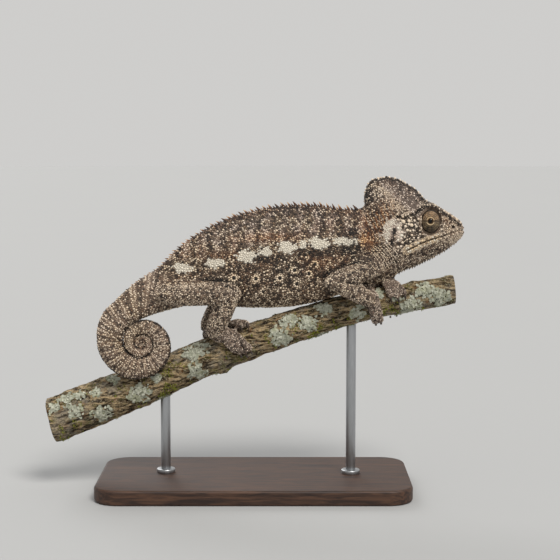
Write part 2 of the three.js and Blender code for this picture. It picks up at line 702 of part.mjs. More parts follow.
function addHead() {
  const skull = headSolid();
  const turrets = [RIGHT, LEFT].map((side) => eyeTurret(side, GAP));
  const open = skull.subtract(turrets[0]).subtract(turrets[1]);
  addNode('head', biggest(open.subtract(jawBlock(GAP)).subtract(casqueBlock(GAP))), SKIN);
  addNode('lower_jaw', biggest(open.intersect(jawBlock(0))), SKIN);
  addNode('casque', biggest(open.intersect(casqueBlock(0))), SKIN);
  for (const [label, side] of [['right', RIGHT], ['left', LEFT]]) {
    const lids = eyeTurret(side).subtract(eyeball(side, GAP)).subtract(pupilHole(side));
    addNode(`eye_turret_${label}`, biggest(lids), EYELID);
    addNode(`eyeball_${label}`, eyeball(side), EYE_GLASS);
  }
}

function addBody(perchGrown) {
  const shoulder = ringNamed('shoulder');
  const loin = ringNamed('loin');
  const vent = ringNamed('vent');
  const neck = spinyPiece(0, shoulder, BODY_SIDES, bodySection);
  addNode('neck', biggest(neck.subtract(headSolid(GAP))), SKIN);
  addNode('trunk_front', spinyPiece(shoulder, loin, BODY_SIDES, bodySection), SKIN);
  addNode('trunk_rear', spinyPiece(loin, vent, BODY_SIDES, bodySection), SKIN);
  const cuts = [vent, ...TAIL_CUTS.map(ringAtDegrees), spineRings.length - 1];
  addNode('tail_root', spinyPiece(cuts[0], cuts[1], BODY_SIDES, bodySection), SKIN);
  ['tail_bow', 'tail_coil_outer', 'tail_coil_inner', 'tail_tip'].forEach((name, i) => {
    const length = bodyPiece(cuts[i + 1], cuts[i + 2], TAIL_SIDES[i], roundSection);
    addNode(name, biggest(length.subtract(perchGrown)), SKIN);
  });
}

// Adds a limb that keeps clear of what is already there, and returns all that it fills.
function addLimb(limb, taken) {
  const { root, middle, end } = limb.joints;
  const joints = [root, middle, end].map((joint) => limbPoint(joint, limb.side));
  const shapes = [
    ['upper', (grow) => limbSegment(joints[0], joints[1], limb.upper, grow)],
    ['lower', (grow) => limbSegment(joints[1], joints[2], limb.lower, grow)],
    ['palm', (grow) => palmSolid(limb, grow)],
    ['toes_outer', (grow) => toeBundle(limb, limb.outer, grow)],
    ['toes_inner', (grow) => toeBundle(limb, limb.inner, grow)],
  ];
  let filled = taken;
  for (const [label, shape] of shapes) {
    addNode(`${limb.name}_${label}`, biggest(shape(0).subtract(filled)), LEG_SKIN);
    filled = filled.add(shape(GAP));
  }
  for (const label of ['outer', 'inner']) {
    toeNumbers(limb[label]).forEach((number, i) => {
      addNode(`${limb.name}_claw_${label}_${i + 1}`, clawSolid(limb, limb[label], number), HORN);
    });
  }
  return filled;
}

const perchGrown = branchSolid(GAP);
addHead();
addBody(perchGrown);
LIMBS.reduce((taken, limb) => addLimb(limb, taken), wholeBodyGrown.add(headSolid(GAP)).add(perchGrown));
addNode('perch_branch', branchSolid(), BARK);
addNode('stand_rod_front', standRod(ROD.front, perchGrown), STEEL);
addNode('stand_rod_rear', standRod(ROD.rear, perchGrown), STEEL);
addNode('stand_base', standBase(), STAND_BOARD);

// The origin is under the middle of the whole model.
const middle = new THREE.Box3().setFromObject(chameleon).getCenter(new THREE.Vector3());
chameleon.position.set(-middle.x, -middle.y, 0);

export default chameleon;
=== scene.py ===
import heapq
from math import atan2, cos, pi, radians, sin, sqrt

import bmesh
import bpy
import numpy as np
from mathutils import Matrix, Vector, noise
from mathutils.bvhtree import BVHTree


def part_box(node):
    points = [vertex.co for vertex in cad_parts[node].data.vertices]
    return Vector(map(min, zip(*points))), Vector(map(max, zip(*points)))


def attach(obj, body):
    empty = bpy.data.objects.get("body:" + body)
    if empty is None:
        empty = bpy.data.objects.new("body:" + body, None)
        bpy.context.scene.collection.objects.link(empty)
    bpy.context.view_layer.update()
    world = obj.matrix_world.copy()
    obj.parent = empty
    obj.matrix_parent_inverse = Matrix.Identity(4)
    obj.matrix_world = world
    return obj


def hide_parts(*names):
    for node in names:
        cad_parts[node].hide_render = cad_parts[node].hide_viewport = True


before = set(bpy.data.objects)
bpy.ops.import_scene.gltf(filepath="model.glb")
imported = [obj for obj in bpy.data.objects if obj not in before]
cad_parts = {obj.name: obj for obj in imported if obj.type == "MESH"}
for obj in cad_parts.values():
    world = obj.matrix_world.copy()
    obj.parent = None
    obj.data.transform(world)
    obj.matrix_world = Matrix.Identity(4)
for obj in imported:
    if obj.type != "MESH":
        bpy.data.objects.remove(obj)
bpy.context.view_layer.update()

# A Malagasy giant chameleon on a cut branch. Lengths are millimetres from the middle of the board's
# underside, with the animal facing +X and its right side at -Y, until a piece is placed.
mm = 0.001
boardLow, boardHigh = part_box("stand_base")
home = np.array([(boardLow.x + boardHigh.x) / 2, (boardLow.y + boardHigh.y) / 2, 0.0])
nodeNames = sorted(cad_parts)
coilNodes = ("tail_bow", "tail_coil_outer", "tail_coil_inner", "tail_tip")
headNodes = ("head", "lower_jaw", "casque")
legNames = ("foreleg_right", "foreleg_left", "hindleg_right", "hindleg_left")
fleshNodes = [n for n in nodeNames if n.startswith(("neck", "trunk", "tail") + headNodes)]
fleshNodes += [n for n in nodeNames if n.startswith(legNames) and "claw" not in n]


# Curves, noise and ramps on arrays.

def smoothstep(values, low, high):
    share = np.clip((np.asarray(values, float) - low) / (high - low), 0, 1)
    return share * share * (3 - 2 * share)


def bump(distance, reach):
    # 1 on the line, falling smoothly to 0 at about twice the reach
    return np.exp(-((np.asarray(distance) / reach) ** 2))


def unit(vectors):
    length = np.linalg.norm(vectors, axis=-1, keepdims=True)
    return vectors / np.maximum(length, 1e-9)


def smoothLine(knots, at):
    # a smooth curve of one value through knots (x, value) at uneven distances
    x, value = np.array(knots, float).T
    before = np.maximum(np.arange(len(x)) - 1, 0)
    after = np.minimum(np.arange(len(x)) + 1, len(x) - 1)
    slope = (value[after] - value[before]) / (x[after] - x[before])
    i = np.clip(np.searchsorted(x, at, side="right") - 1, 0, len(x) - 2)
    span = x[i + 1] - x[i]
    s = np.clip((at - x[i]) / span, 0, 1)
    rise = value[i + 1] - value[i]
    bendIn = slope[i] * span - rise
    bendOut = rise - slope[i + 1] * span
    return value[i] + rise * s + s * (1 - s) * (bendIn * (1 - s) + bendOut * s)


def cloudy(points, size, seed=0, octaves=3):
    # smooth noise from about -1 to 1 with features of the given size
    shift = Vector((seed * 17.3, seed * 5.1, seed * 9.7))
    scaled = points / size
    return np.array([noise.fractal(Vector(p) + shift, 0.6, 2.1, octaves) for p in scaled])


def nearLine(points, line):
    # distance to a broken line, the side as a sign, and the share of the way along it
    line = np.asarray(line, float)
    steps = np.diff(line, axis=0)
    lengths = np.linalg.norm(steps, axis=1)
    before = np.concatenate([[0], np.cumsum(lengths)])
    best = np.full(len(points), 1e9)
    side = np.zeros(len(points))
    along = np.zeros(len(points))
    for start, step, length, walked in zip(line, steps, lengths, before):
        away = points - start
        share = np.clip(away @ step / length**2, 0, 1)
        gap = away - share[:, None] * step
        distance = np.linalg.norm(gap, axis=1)
        closer = distance < best
        turn = step[0] * away[:, 1] - step[1] * away[:, 0]
        best = np.where(closer, distance, best)
        side = np.where(closer, np.sign(turn), side)
        along = np.where(closer, (walked + share * length) / before[-1], along)
    return best, side, along


def fromPlace(points, x, z):
    # distance from a place on the animal's side
    return np.hypot(points[:, 0] - x, points[:, 2] - z)


# Small helpers for meshes.

def movePoints(shape, places):
    for v, place in zip(shape.verts, places):
        v.co = place


def asMesh(shape, name):
    mesh = bpy.data.meshes.new(name)
    shape.to_mesh(mesh)
    shape.free()
    return mesh


def addObject(name, data):
    made = bpy.data.objects.new(name, data)
    bpy.context.scene.collection.objects.link(made)
    return made


def rise(edge):
    return abs(edge.verts[0].co.z - edge.verts[1].co.z)


def nodeBox(name):
    # a node's lowest and highest corner in millimetres
    low, high = (np.array(c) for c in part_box(name))
    return (low - home) / mm, (high - home) / mm


# The tail's coil.

# The tail follows a logarithmic spiral. Its skin is made on a straightened tail, so that the windings
# can't grow together, and is then coiled up again.
coil = dict(x=-89, z=121, y=-14, entryY=-7, radius=25.2, shrink=0.79, thickness=0.43, flatness=0.82)
coil.update(start=150, settled=190, end=1104, settleFrom=114, settleTo=204, roundTip=50)
coil.update(gap=0.15, thinnest=3.8, nearby=1.7, fuller=0.6, extra=330, stretchFrom=870, finest=1.25)
coilPitch = -np.log(coil["shrink"]) / (pi / 2)


def coilRadius(degrees):
    return coil["radius"] * coil["shrink"] ** ((degrees - 180) / 90)


def coilAxisY(degrees):
    settled = smoothstep(degrees, coil["settleFrom"], coil["settleTo"])
    return coil["entryY"] + (coil["y"] - coil["entryY"]) * settled


def coilSizes(degrees):
    # half height and half width of the tail, and how much thicker the straightened tail is
    tall = coilRadius(degrees) * coil["thickness"] - coil["gap"]
    magnified = np.maximum(1, coil["thinnest"] / tall)
    return tall, tall * coil["flatness"], magnified


def aroundCoil(points):
    # distance from the coil's middle, and degrees round it up to 360
    dx, dz = points[:, 0] - coil["x"], points[:, 2] - coil["z"]
    return np.hypot(dx, dz), np.degrees(np.arctan2(dz, dx)) % 360


def coilStart():
    # the straightened tail's first point, and its directions ahead and outwards, in x and z
    turned = radians(coil["start"])
    outwards = np.array([cos(turned), sin(turned)])
    ahead = np.array([-coilPitch * cos(turned) - sin(turned), -coilPitch * sin(turned) + cos(turned)])
    first = np.array([coil["x"], coil["z"]]) + coilRadius(coil["start"]) * outwards
    return first, unit(ahead), outwards


coilFirst, coilAhead, coilOutwards = coilStart()
coilReach = coilRadius(coil["start"]) * sqrt(1 + coilPitch**2) / coilPitch


def straightened(points, turns):
    # the coiled tail pulled straight. Only the first turns of the coil are looked at
    reach, turned = aroundCoil(points)
    best = np.full(len(points), 1e9)
    degrees = np.zeros(len(points))
    for turn in range(turns):
        guess = turned + 360 * turn
        miss = np.abs(reach / coilRadius(guess) - 1)
        miss = np.where((guess > coil["start"]) & (guess < coil["end"] + 20), miss, 1e6)
        degrees = np.where(miss < best, guess, degrees)
        best = np.minimum(best, miss)
    degrees = np.maximum(degrees, coil["start"])
    tall, wide, magnified = coilSizes(degrees)
    outwards = reach - coilRadius(degrees)
    across = points[:, 1] - coilAxisY(degrees)
    arc = coilReach * (1 - np.exp(-coilPitch * np.radians(degrees - coil["start"])))
    flat = coilFirst + np.outer(arc, coilAhead) + np.outer(outwards * magnified, coilOutwards)
    pulled = np.stack([flat[:, 0], coilAxisY(coil["start"]) + across * magnified, flat[:, 1]], axis=1)
    onTail = (best < 1) & (np.hypot(outwards / tall, across / wide) < coil["nearby"])
    return np.where(onTail[:, None], pulled, points)


def coiledUp(points):
    # the way back, with the tail's section made a true oval
    both = np.array([coilAhead, coilOutwards])
    arc, outwards = np.linalg.solve(both.T, (points[:, [0, 2]] - coilFirst).T)
    across = points[:, 1] - coilAxisY(coil["start"])
    left = np.clip(1 - arc / coilReach, 0.06, 1)
    degrees = coil["start"] - np.degrees(np.log(left)) / coilPitch
    tall, wide, magnified = coilSizes(degrees)
    reach = np.hypot(outwards / tall, across / wide) / magnified
    onTail = (arc > 0) & (reach < coil["nearby"])
    tip = smoothstep(degrees, coil["end"] - 3, coil["end"])
    # the last of the tail is wound on further, into the coil's middle
    late = np.clip((degrees - coil["stretchFrom"]) / (coil["end"] - coil["stretchFrom"]), 0, 1)
    wound = degrees + coil["extra"] * late**2
    narrower = np.maximum(coilSizes(wound)[0], coil["finest"]) / tall
    fuller = 1 + coil["fuller"] / tall * smoothstep(degrees, coil["settled"], coil["settled"] + 60)
    rounding = np.clip((degrees - coil["end"]) / coil["roundTip"] + 1, 0, 0.998)
    section = np.sqrt(1 - rounding**2) * np.where(tip > 0, np.minimum(reach, 1), 1)
    evener = section / np.maximum(reach, 1e-6)
    held = smoothstep(degrees, coil["start"], coil["settled"])
    scale = (1 + (evener - 1) * held) / magnified * fuller * narrower
    turned = np.radians(wound)
    radius = coilRadius(wound) + outwards * scale
    back = np.stack([
        coil["x"] + radius * np.cos(turned),
        coilAxisY(degrees) + across * scale,
        coil["z"] + radius * np.sin(turned),
    ], axis=1)
    return np.where(onTail[:, None], back, points)


def coilRows(points, perTurn, shrink=0.5):
    # a count of rows across the tail, which are closer together where the tail is thin
    reach, turned = aroundCoil(points)
    best, degrees = np.full(len(points), 1e9), np.zeros(len(points))
    for turn in range(4):
        guess = turned + 360 * turn
        miss = np.where(guess > 60, np.abs(reach / coilRadius(guess) - 1), 1e6)
        degrees = np.where(miss < best, guess, degrees)
        best = np.minimum(best, miss)
    pitch = shrink * coilPitch
    return perTurn / (2 * pi * pitch) * (1 - np.exp(-pitch * np.radians(degrees - 180))), degrees


# The skin: one closed surface from all the nodes of flesh.

skinShape = dict(voxel=1.22, overlap=0.3, tipAngle=2.6, blur=0.6, creaseDepth=0.9)
skinShape.update(haunchPasses=26, headPasses=2)
# How many times the facets of each part are blurred
blurPasses = dict(neck=60, trunk=60, tail_root=50, head=6, lower_jaw=8, casque=5, upper=16, lower=12)
blurPasses.update(palm=12, toes=5, tail=8)


def asArrays(mesh):
    points = np.zeros(len(mesh.vertices) * 3)
    mesh.vertices.foreach_get("co", points)
    edges = np.zeros(len(mesh.edges) * 2, int)
    mesh.edges.foreach_get("vertices", edges)
    mesh.calc_loop_triangles()
    corners = np.zeros(len(mesh.loop_triangles) * 3, int)
    mesh.loop_triangles.foreach_get("vertices", corners)
    return points.reshape(-1, 3), edges.reshape(-1, 2), corners.reshape(-1, 3)


def weldedShell(name):
    shell = bmesh.new()
    shell.from_mesh(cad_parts[name].data)
    bmesh.ops.remove_doubles(shell, verts=shell.verts, dist=2e-6)
    for v in shell.verts:
        v.co = Vector((np.array(v.co) - home) / mm)
    shell.normal_update()
    return shell


def gatherFlesh():
    # joined shells that overlap a little, with the crest's spines cut off and kept as places
    joined = bmesh.new()
    crest = []
    for name in fleshNodes:
        shell = weldedShell(name)
        if name.startswith(("neck", "trunk", "tail_root")):
            turned = {v: sum(c.calc_angle() for c in v.link_loops) for v in shell.verts}
            for tip in [v for v in shell.verts if turned[v] < skinShape["tipAngle"]]:
                ring = [e.other_vert(tip).co for e in tip.link_edges]
                crest.append(tip.co.copy())
                tip.co = sum(ring, Vector()) / len(ring)
            shell.normal_update()
        if name.startswith("tail"):
            places = np.array([v.co for v in shell.verts])
            movePoints(shell, straightened(places, 4 if name in coilNodes else 1))
            shell.normal_update()
        movePoints(shell, [v.co + v.normal * skinShape["overlap"] for v in shell.verts])
        piece = asMesh(shell, name)
        joined.from_mesh(piece)
        bpy.data.meshes.remove(piece)
    return asMesh(joined, "flesh"), crest


def remeshed(mesh):
    lump = addObject("flesh", mesh)
    remesh = lump.modifiers.new("remesh", "REMESH")
    remesh.mode = "VOXEL"
    remesh.voxel_size = skinShape["voxel"]
    evaluated = lump.evaluated_get(bpy.context.evaluated_depsgraph_get())
    fine = bpy.data.meshes.new_from_object(evaluated)
    bpy.data.objects.remove(lump)
    bpy.data.meshes.remove(mesh)
    return fine


def blurred(values, edges, passes):
    # passes may be an array, so that each point stops when it has had its own number
    values = np.array(values, float)
    flat = values.ndim == 1
    values = values.reshape(len(values), -1)
    ends = np.concatenate([edges[:, 0], edges[:, 1]])
    others = np.concatenate([edges[:, 1], edges[:, 0]])
    count = np.maximum(np.bincount(ends, minlength=len(values)), 1)
    passes = np.broadcast_to(passes, len(values))
    for i in range(int(passes.max())):
        mean = np.stack([np.bincount(ends, column[others], len(values)) for column in values.T], 1)
        step = (passes > i) * skinShape["blur"]
        values += (mean / count[:, None] - values) * step[:, None]
    return values[:, 0] if flat else values


def summed(vectors, corners, count):
    # the direction at each point from a vector for each triangle
    total = np.zeros((count, 3))
    for k in range(3):
        for axis in range(3):
            total[:, axis] += np.bincount(corners[:, k], vectors[:, axis], count)
    return unit(total)


def normalsOf(points, corners):
    a, b, c = (points[corners[:, k]] for k in range(3))
    return summed(np.cross(b - a, c - a), corners, len(points))


class Nearest:
    # the closest of several CAD nodes to a point, and the closest place on it
    def __init__(self, names):
        corners, faces, self.owner = [], [], []
        for name in names:
            shell = weldedShell(name)
            offset = len(corners)
            corners += [v.co.copy() for v in shell.verts]
            faces += [[v.index + offset for v in f.verts] for f in shell.faces]
            self.owner += [name] * len(shell.faces)
            shell.free()
        self.tree = BVHTree.FromPolygons(corners, faces)

    def names(self, points):
        return np.array([self.owner[self.tree.find_nearest(p)[2]] for p in points])


def startsWith(labels, names):
    return np.isin(labels, [n for n in set(labels) if n.startswith(names)])


def evened(points, edges, corners, passes):
    # blurs the facets away and gives back the width that the blur took
    smooth = blurred(points, edges, passes)
    normals = normalsOf(smooth, corners)
    sunk = np.sum((smooth - points) * normals, axis=1)
    sunk = blurred(sunk, edges, passes)
    return smooth - normals * sunk[:, None]


def refined(points, corners, wanted):
    # the surface with every edge between two wanted points cut in half
    fine = bmesh.new()
    made = [fine.verts.new(p) for p in points]
    for face in corners:
        fine.faces.new([made[i] for i in face])
    fine.verts.ensure_lookup_table()
    fine.verts.index_update()
    cut = [e for e in fine.edges if wanted[e.verts[0].index] and wanted[e.verts[1].index]]
    bmesh.ops.subdivide_edges(fine, edges=cut, cuts=1, use_grid_fill=True)
    bmesh.ops.triangulate(fine, faces=fine.faces[:])
    mesh = asMesh(fine, "fine")
    arrays = asArrays(mesh)
    bpy.data.meshes.remove(mesh)
    return arrays


# Folds, ridges and hollows pressed into the skin.

# Places are (x, z) on the animal's side. Heights are along the skin's normal.
face = dict(eye=(139.3, 217.3), eyeLong=7.7, eyeTall=9.3, nostril=(157.8, 212.7), cheek=(124, 207))
face["brow"] = [(129, 227.5), (134.2, 230.1), (142.6, 230.1), (146.1, 227.2), (152.9, 223.5)]
face["brow"] += [(159.5, 219), (164, 215.4)]
face["lateral"] = [(133.5, 229.2), (127.6, 225.8), (123.3, 223.6), (118.1, 221.8), (113, 223.1)]
face["mouth"] = [(168, 209.8), (163, 209.6), (157, 208.1), (149.9, 205.6), (139.6, 203)]
face["mouth"] += [(131.4, 199.7), (120.4, 194.3)]
face["band"] = [(97, 245.6), (105.8, 238.2), (114.8, 229.3), (122.1, 224.9)]
neckFolds = dict(start=(97.6, 200), end=(110.6, 182.4), spacing=2.1, height=0.45, reach=9.5, bend=0.012)
# The crests of the folds which run round the shoulder
shoulderRows = [
    [(66, 184.2), (71.5, 188.6), (78.4, 191), (85.5, 191), (91.2, 189.2), (96, 184.6)],
    [(69.5, 181.2), (76, 185), (83.2, 186.8), (90, 185.8), (95, 181.2)],
    [(74, 178), (80.5, 181.2), (87, 182.2), (93.5, 178.6)],
    [(79, 174.8), (85, 177.4), (91.5, 176)],
]
# Folds and borders of the near limbs and their mirror images, as lines with a depth and half a width
limbFolds = [
    dict(line=[(68.4, 171.8), (75, 170.4), (82, 169), (90, 167)], depth=1.3, wide=1.0),
    dict(line=[(55, 170), (56, 175), (60, 178.8), (66, 181.6), (74, 184.2), (82.7, 186), (93, 187)],
         depth=0.8, wide=0.8),
    dict(line=[(55.6, 168), (58.5, 162.5), (64, 156.5)], depth=0.8, wide=0.7),
    dict(line=[(-38, 146.5), (-30, 148.2), (-24, 153.4), (-18.5, 155.6)], depth=1.2, wide=1.0),
    dict(line=[(-40, 171.6), (-33, 171.2), (-25.5, 169.4), (-16.6, 166.6), (-10.6, 162), (-9, 157),
               (-11, 151.5)], depth=0.8, wide=0.8),
    dict(line=[(-11, 124.5), (-9.4, 120.5), (-5, 109)], depth=1.8, wide=0.7),
]
shoulderFolds = dict(centre=(90, 178), first=13, spacing=3.3, height=0.5, reach=12)


def fromEye(points):
    # distance from the middle of the eye's turret, which is 1 at its edge
    x, z = face["eye"]
    return np.hypot((points[:, 0] - x) / face["eyeLong"], (points[:, 2] - z) / face["eyeTall"])


def folds(distance, spacing):
    # soft rounded ridges with narrow valleys between them
    return np.abs(np.sin(pi * distance / spacing)) - 0.6


def neckRipples(points):
    # fine folds behind the jaw, which run down towards the throat, and how far each place belongs to them
    first, last = np.array(neckFolds["start"]), np.array(neckFolds["end"])
    ahead = unit(last - first)
    away = points[:, [0, 2]] - (first + last) / 2
    along, across = away @ ahead, away @ np.array([-ahead[1], ahead[0]])
    within = smoothstep(np.abs(across), neckFolds["reach"], 0.7 * neckFolds["reach"])
    within *= smoothstep(np.abs(along), 1.2 * neckFolds["reach"], 0.8 * neckFolds["reach"])
    return within * folds(across + neckFolds["bend"] * along**2, neckFolds["spacing"]), within


def limbGrooves(points):
    # 1 in the folds of the limbs, and the depth there
    share, depth = np.zeros(len(points)), np.zeros(len(points))
    for fold in limbFolds:
        here = bump(nearLine(points[:, [0, 2]], fold["line"])[0], fold["wide"])
        share, depth = np.maximum(share, here), np.maximum(depth, here * fold["depth"])
    return share, depth


def sculpted(points, normals):
    # how far each point of the skin moves outwards
    side = points[:, [0, 2]]
    sideways = smoothstep(np.abs(normals[:, 1]), 0.1, 0.5)
    height = 0.22 * cloudy(points, 11, 1, 2) + 0.1 * cloudy(points, 4, 2, 2)

    brow = nearLine(side, face["brow"])[0]
    lateral, below, _ = nearLine(side, face["lateral"])
    mouth, _, along = nearLine(side, face["mouth"])
    nostril, cheek = fromPlace(points, *face["nostril"]), fromPlace(points, *face["cheek"])
    fromLid = (fromEye(points) - 1) * face["eyeLong"]
    onHead = smoothstep(side[:, 0], 100, 112)
    height += onHead * (0.9 * bump(brow, 1.5) + 0.8 * bump(lateral, 1.2))
    height -= onHead * sideways * 0.8 * bump(lateral - 2, 0.9) * (below > 0)
    height += onHead * sideways * (0.9 * bump(fromLid - 2.6, 1.3) - 0.8 * bump(fromLid - 0.4, 0.9))
    height += onHead * sideways * 0.9 * bump(cheek, 9)
    lips = onHead * smoothstep(along, 0, 0.02) * smoothstep(along, 1, 0.96)
    height += lips * (0.5 * bump(mouth - 1.6, 1.1) - 1.3 * bump(mouth, 0.55))
    height += sideways * (0.5 * bump(nostril - 1.7, 0.7) - 1.6 * bump(nostril, 0.95))

    height += neckFolds["height"] * neckRipples(points)[0] * sideways
    height -= limbGrooves(points)[1] * smoothstep(np.abs(normals[:, 1]), 0.3, 0.6)

    away = side - np.array(shoulderFolds["centre"])
    reach = np.linalg.norm(away, axis=1)
    within = bump(reach - shoulderFolds["first"], shoulderFolds["reach"]) * smoothstep(away[:, 1], 3, 9)
    within *= smoothstep(reach, shoulderFolds["first"] - 3, shoulderFolds["first"]) * sideways
    within *= smoothstep(reach, 26, 18)
    height += within * shoulderFolds["height"] * folds(reach, shoulderFolds["spacing"])
    return height


# The hip and shoulder, and the knee and elbow, as (x, z)
limbLines = dict(foreleg_right=[(95, 181), (63.6, 171.2)], foreleg_left=[(92, 181), (70, 168.6)])
limbLines.update(hindleg_right=[(-67, 159.4), (-18.2, 161.6)], hindleg_left=[(-67, 159.4), (-22.6, 158.6)])


def downLimb(points):
    # 0 at the hip or shoulder and 1 at the knee or elbow, for the nearest leg of that side
    share = np.zeros(len(points))
    for leg, (root, joint) in limbLines.items():
        own = (points[:, 1] < 0) == leg.endswith("right")
        own &= (points[:, 0] > 20) == leg.startswith("fore")
        way = np.array(joint) - root
        share = np.where(own, (points[:, [0, 2]] - root) @ way / (way @ way), share)
    return share


def creases(points, labels, edges):
    # 1 in the fold where the free part of a leg meets the body, 0 elsewhere
    share = blurred(startsWith(labels, legNames).astype(float), edges, 5)
    return np.clip(4 * share * (1 - share), 0, 1) ** 2 * smoothstep(downLimb(points), 0.4, 0.85)


# The way scales lie: from the snout towards the tips of the tail and toes.

def walkedFrom(start, points, edges):
    # distance from one point to every other along the skin's edges
    lengths = np.linalg.norm(points[edges[:, 0]] - points[edges[:, 1]], axis=1)
    around = [[] for _ in points]
    for (a, b), length in zip(edges.tolist(), lengths.tolist()):
        around[a].append((b, length))
        around[b].append((a, length))
    walked = np.full(len(points), 1e9).tolist()
    walked[start] = 0
    heap = [(0, start)]
    while heap:
        here, i = heapq.heappop(heap)
        if here > walked[i]:
            continue
        for j, length in around[i]:
            there = here + length
            if there < walked[j]:
                walked[j] = there
                heapq.heappush(heap, (there, j))
    return np.array(walked)


def uphill(values, points, corners):
    # direction at each point in which the value grows fastest
    a, b, c = (points[corners[:, k]] for k in range(3))
    normal = np.cross(b - a, c - a)
    doubled = np.maximum(np.linalg.norm(normal, axis=1, keepdims=True), 1e-9)
    normal /= doubled
    slope = np.cross(normal, c - b) * values[corners[:, 0]][:, None]
    slope += np.cross(normal, a - c) * values[corners[:, 1]][:, None]
    slope += np.cross(normal, b - a) * values[corners[:, 2]][:, None]
    return summed(slope, corners, len(points))


# How the coat varies over the body.

# Depth of the coat and half width of a middling scale
coatDepth = dict(neck=0.7, trunk=0.75, tail_root=0.6, tail=0.12, head=0.5, lower_jaw=0.5, casque=0.45)
coatDepth.update(upper=0.6, lower=0.55, palm=0.45, toes=0.36)
scaleSize = dict(neck=0.58, trunk=0.66, tail_root=0.65, tail=0.55, head=0.52, lower_jaw=0.5, casque=0.56)
scaleSize.update(upper=0.56, lower=0.54, palm=0.48, toes=0.43)


def valueFor(label, table):
    for key in ("upper", "lower_jaw", "lower", "palm", "toes", "tail_root"):
        if key in label:
            return table[key]
    return next(n for key, n in table.items() if label.startswith(key))


def spread(table, labels, edges, passes=14):
    known = {label: valueFor(label, table) for label in set(labels)}
    return blurred(np.array([known[n] for n in labels]), edges, passes)


def buildSkin():
    mesh, crestTips = gatherFlesh()
    mesh = remeshed(mesh)
    points, edges, corners = asArrays(mesh)
    flesh = Nearest(fleshNodes)
    labels = flesh.names(coiledUp(points))
    passes = spread(blurPasses, labels, edges, 8)
    upper = np.char.find(labels, "upper") >= 0
    passes = np.round(passes + skinShape["haunchPasses"] * upper * smoothstep(downLimb(points), 0.7, 0.1))
    points = coiledUp(evened(points, edges, corners, passes))
    headward = startsWith(labels, headNodes) & (points[:, 0] > 90) | (neckRipples(points)[1] > 0)
    points, edges, corners = refined(points, corners, headward)
    labels = flesh.names(points)
    onHead = startsWith(labels, headNodes)[:, None]
    points = np.where(onHead, evened(points, edges, corners, skinShape["headPasses"]), points)
    normals = normalsOf(points, corners)
    depth = spread(coatDepth, labels, edges)
    crease = creases(points, labels, edges)
    height = sculpted(points, normals) - depth - skinShape["creaseDepth"] * crease
    points = points + normals * height[:, None]
    print("skin", len(points), "points,", len(corners), "triangles")
    return dict(points=points, edges=edges, corners=corners, labels=labels, crease=crease, crest=crestTips)


skin = buildSkin()
skin["normals"] = normalsOf(skin["points"], skin["corners"])
walked = walkedFrom(int(skin["points"][:, 0].argmax()), skin["points"], skin["edges"])
skin["lie"] = uphill(blurred(walked, skin["edges"], 12), skin["points"], skin["corners"])
skin["size"] = spread(scaleSize, skin["labels"], skin["edges"])


def sampled(values, triangle, share):
    # what a value of the skin's points is at places inside its triangles
    return np.einsum("nk,nk...->n...", share, values[skin["corners"][triangle]])


def layFlat(lie, normal):
    return unit(lie - normal * np.sum(lie * normal, axis=1, keepdims=True))


# Markings, the same for the skin and for the scales on it.

# The broken side stripe as (x, z, half length, half height)
stripe = [(73.5, 201.7, 10.6, 3.5), (51.4, 200.4, 8.6, 5), (38.8, 199.2, 3.6, 3.5), (26.6, 197.2, 8, 5.5)]
stripe += [(9.2, 194.1, 5.6, 4.1), (-5, 190.1, 8.6, 5.3), (-30.2, 184.4, 8.4, 4.1), (-56.3, 179.7, 7.8, 4)]
# Flower-like rings of pale scales as (x, z, strength)
rosettes = [(-15.4, 173, 0.9), (1.9, 172.5, 1), (20.8, 173, 1), (32.3, 179.3, 0.6), (43.6, 176.5, 0.7)]
rosettes += [(34.2, 168.3, 0.5), (48.4, 184, 0.5), (8, 162, 0.4), (60, 172, 0.4)]
hideMasks = ("rust", "grey", "warm", "dark")


def around(points, x, z, long, tall):
    # 1 at a place on the animal's side, falling to 0 beyond an ellipse
    return bump(np.hypot((points[:, 0] - x) / long, (points[:, 2] - z) / tall), 1)


def shareOf(names, passes=5):
    # how far each point of the skin belongs to the named parts, with soft borders
    return blurred(startsWith(skin["labels"], names).astype(float), skin["edges"], passes)


def strands(points):
    # rusty strands which run down and forwards over the nape
    across = 0.93 * points[:, 0] + 0.37 * points[:, 2] + 1.6 * cloudy(points, 7, 13, 2)
    return 0.15 + 1.1 * smoothstep(np.cos(2 * pi * across / 3.4), -0.3, 0.7)


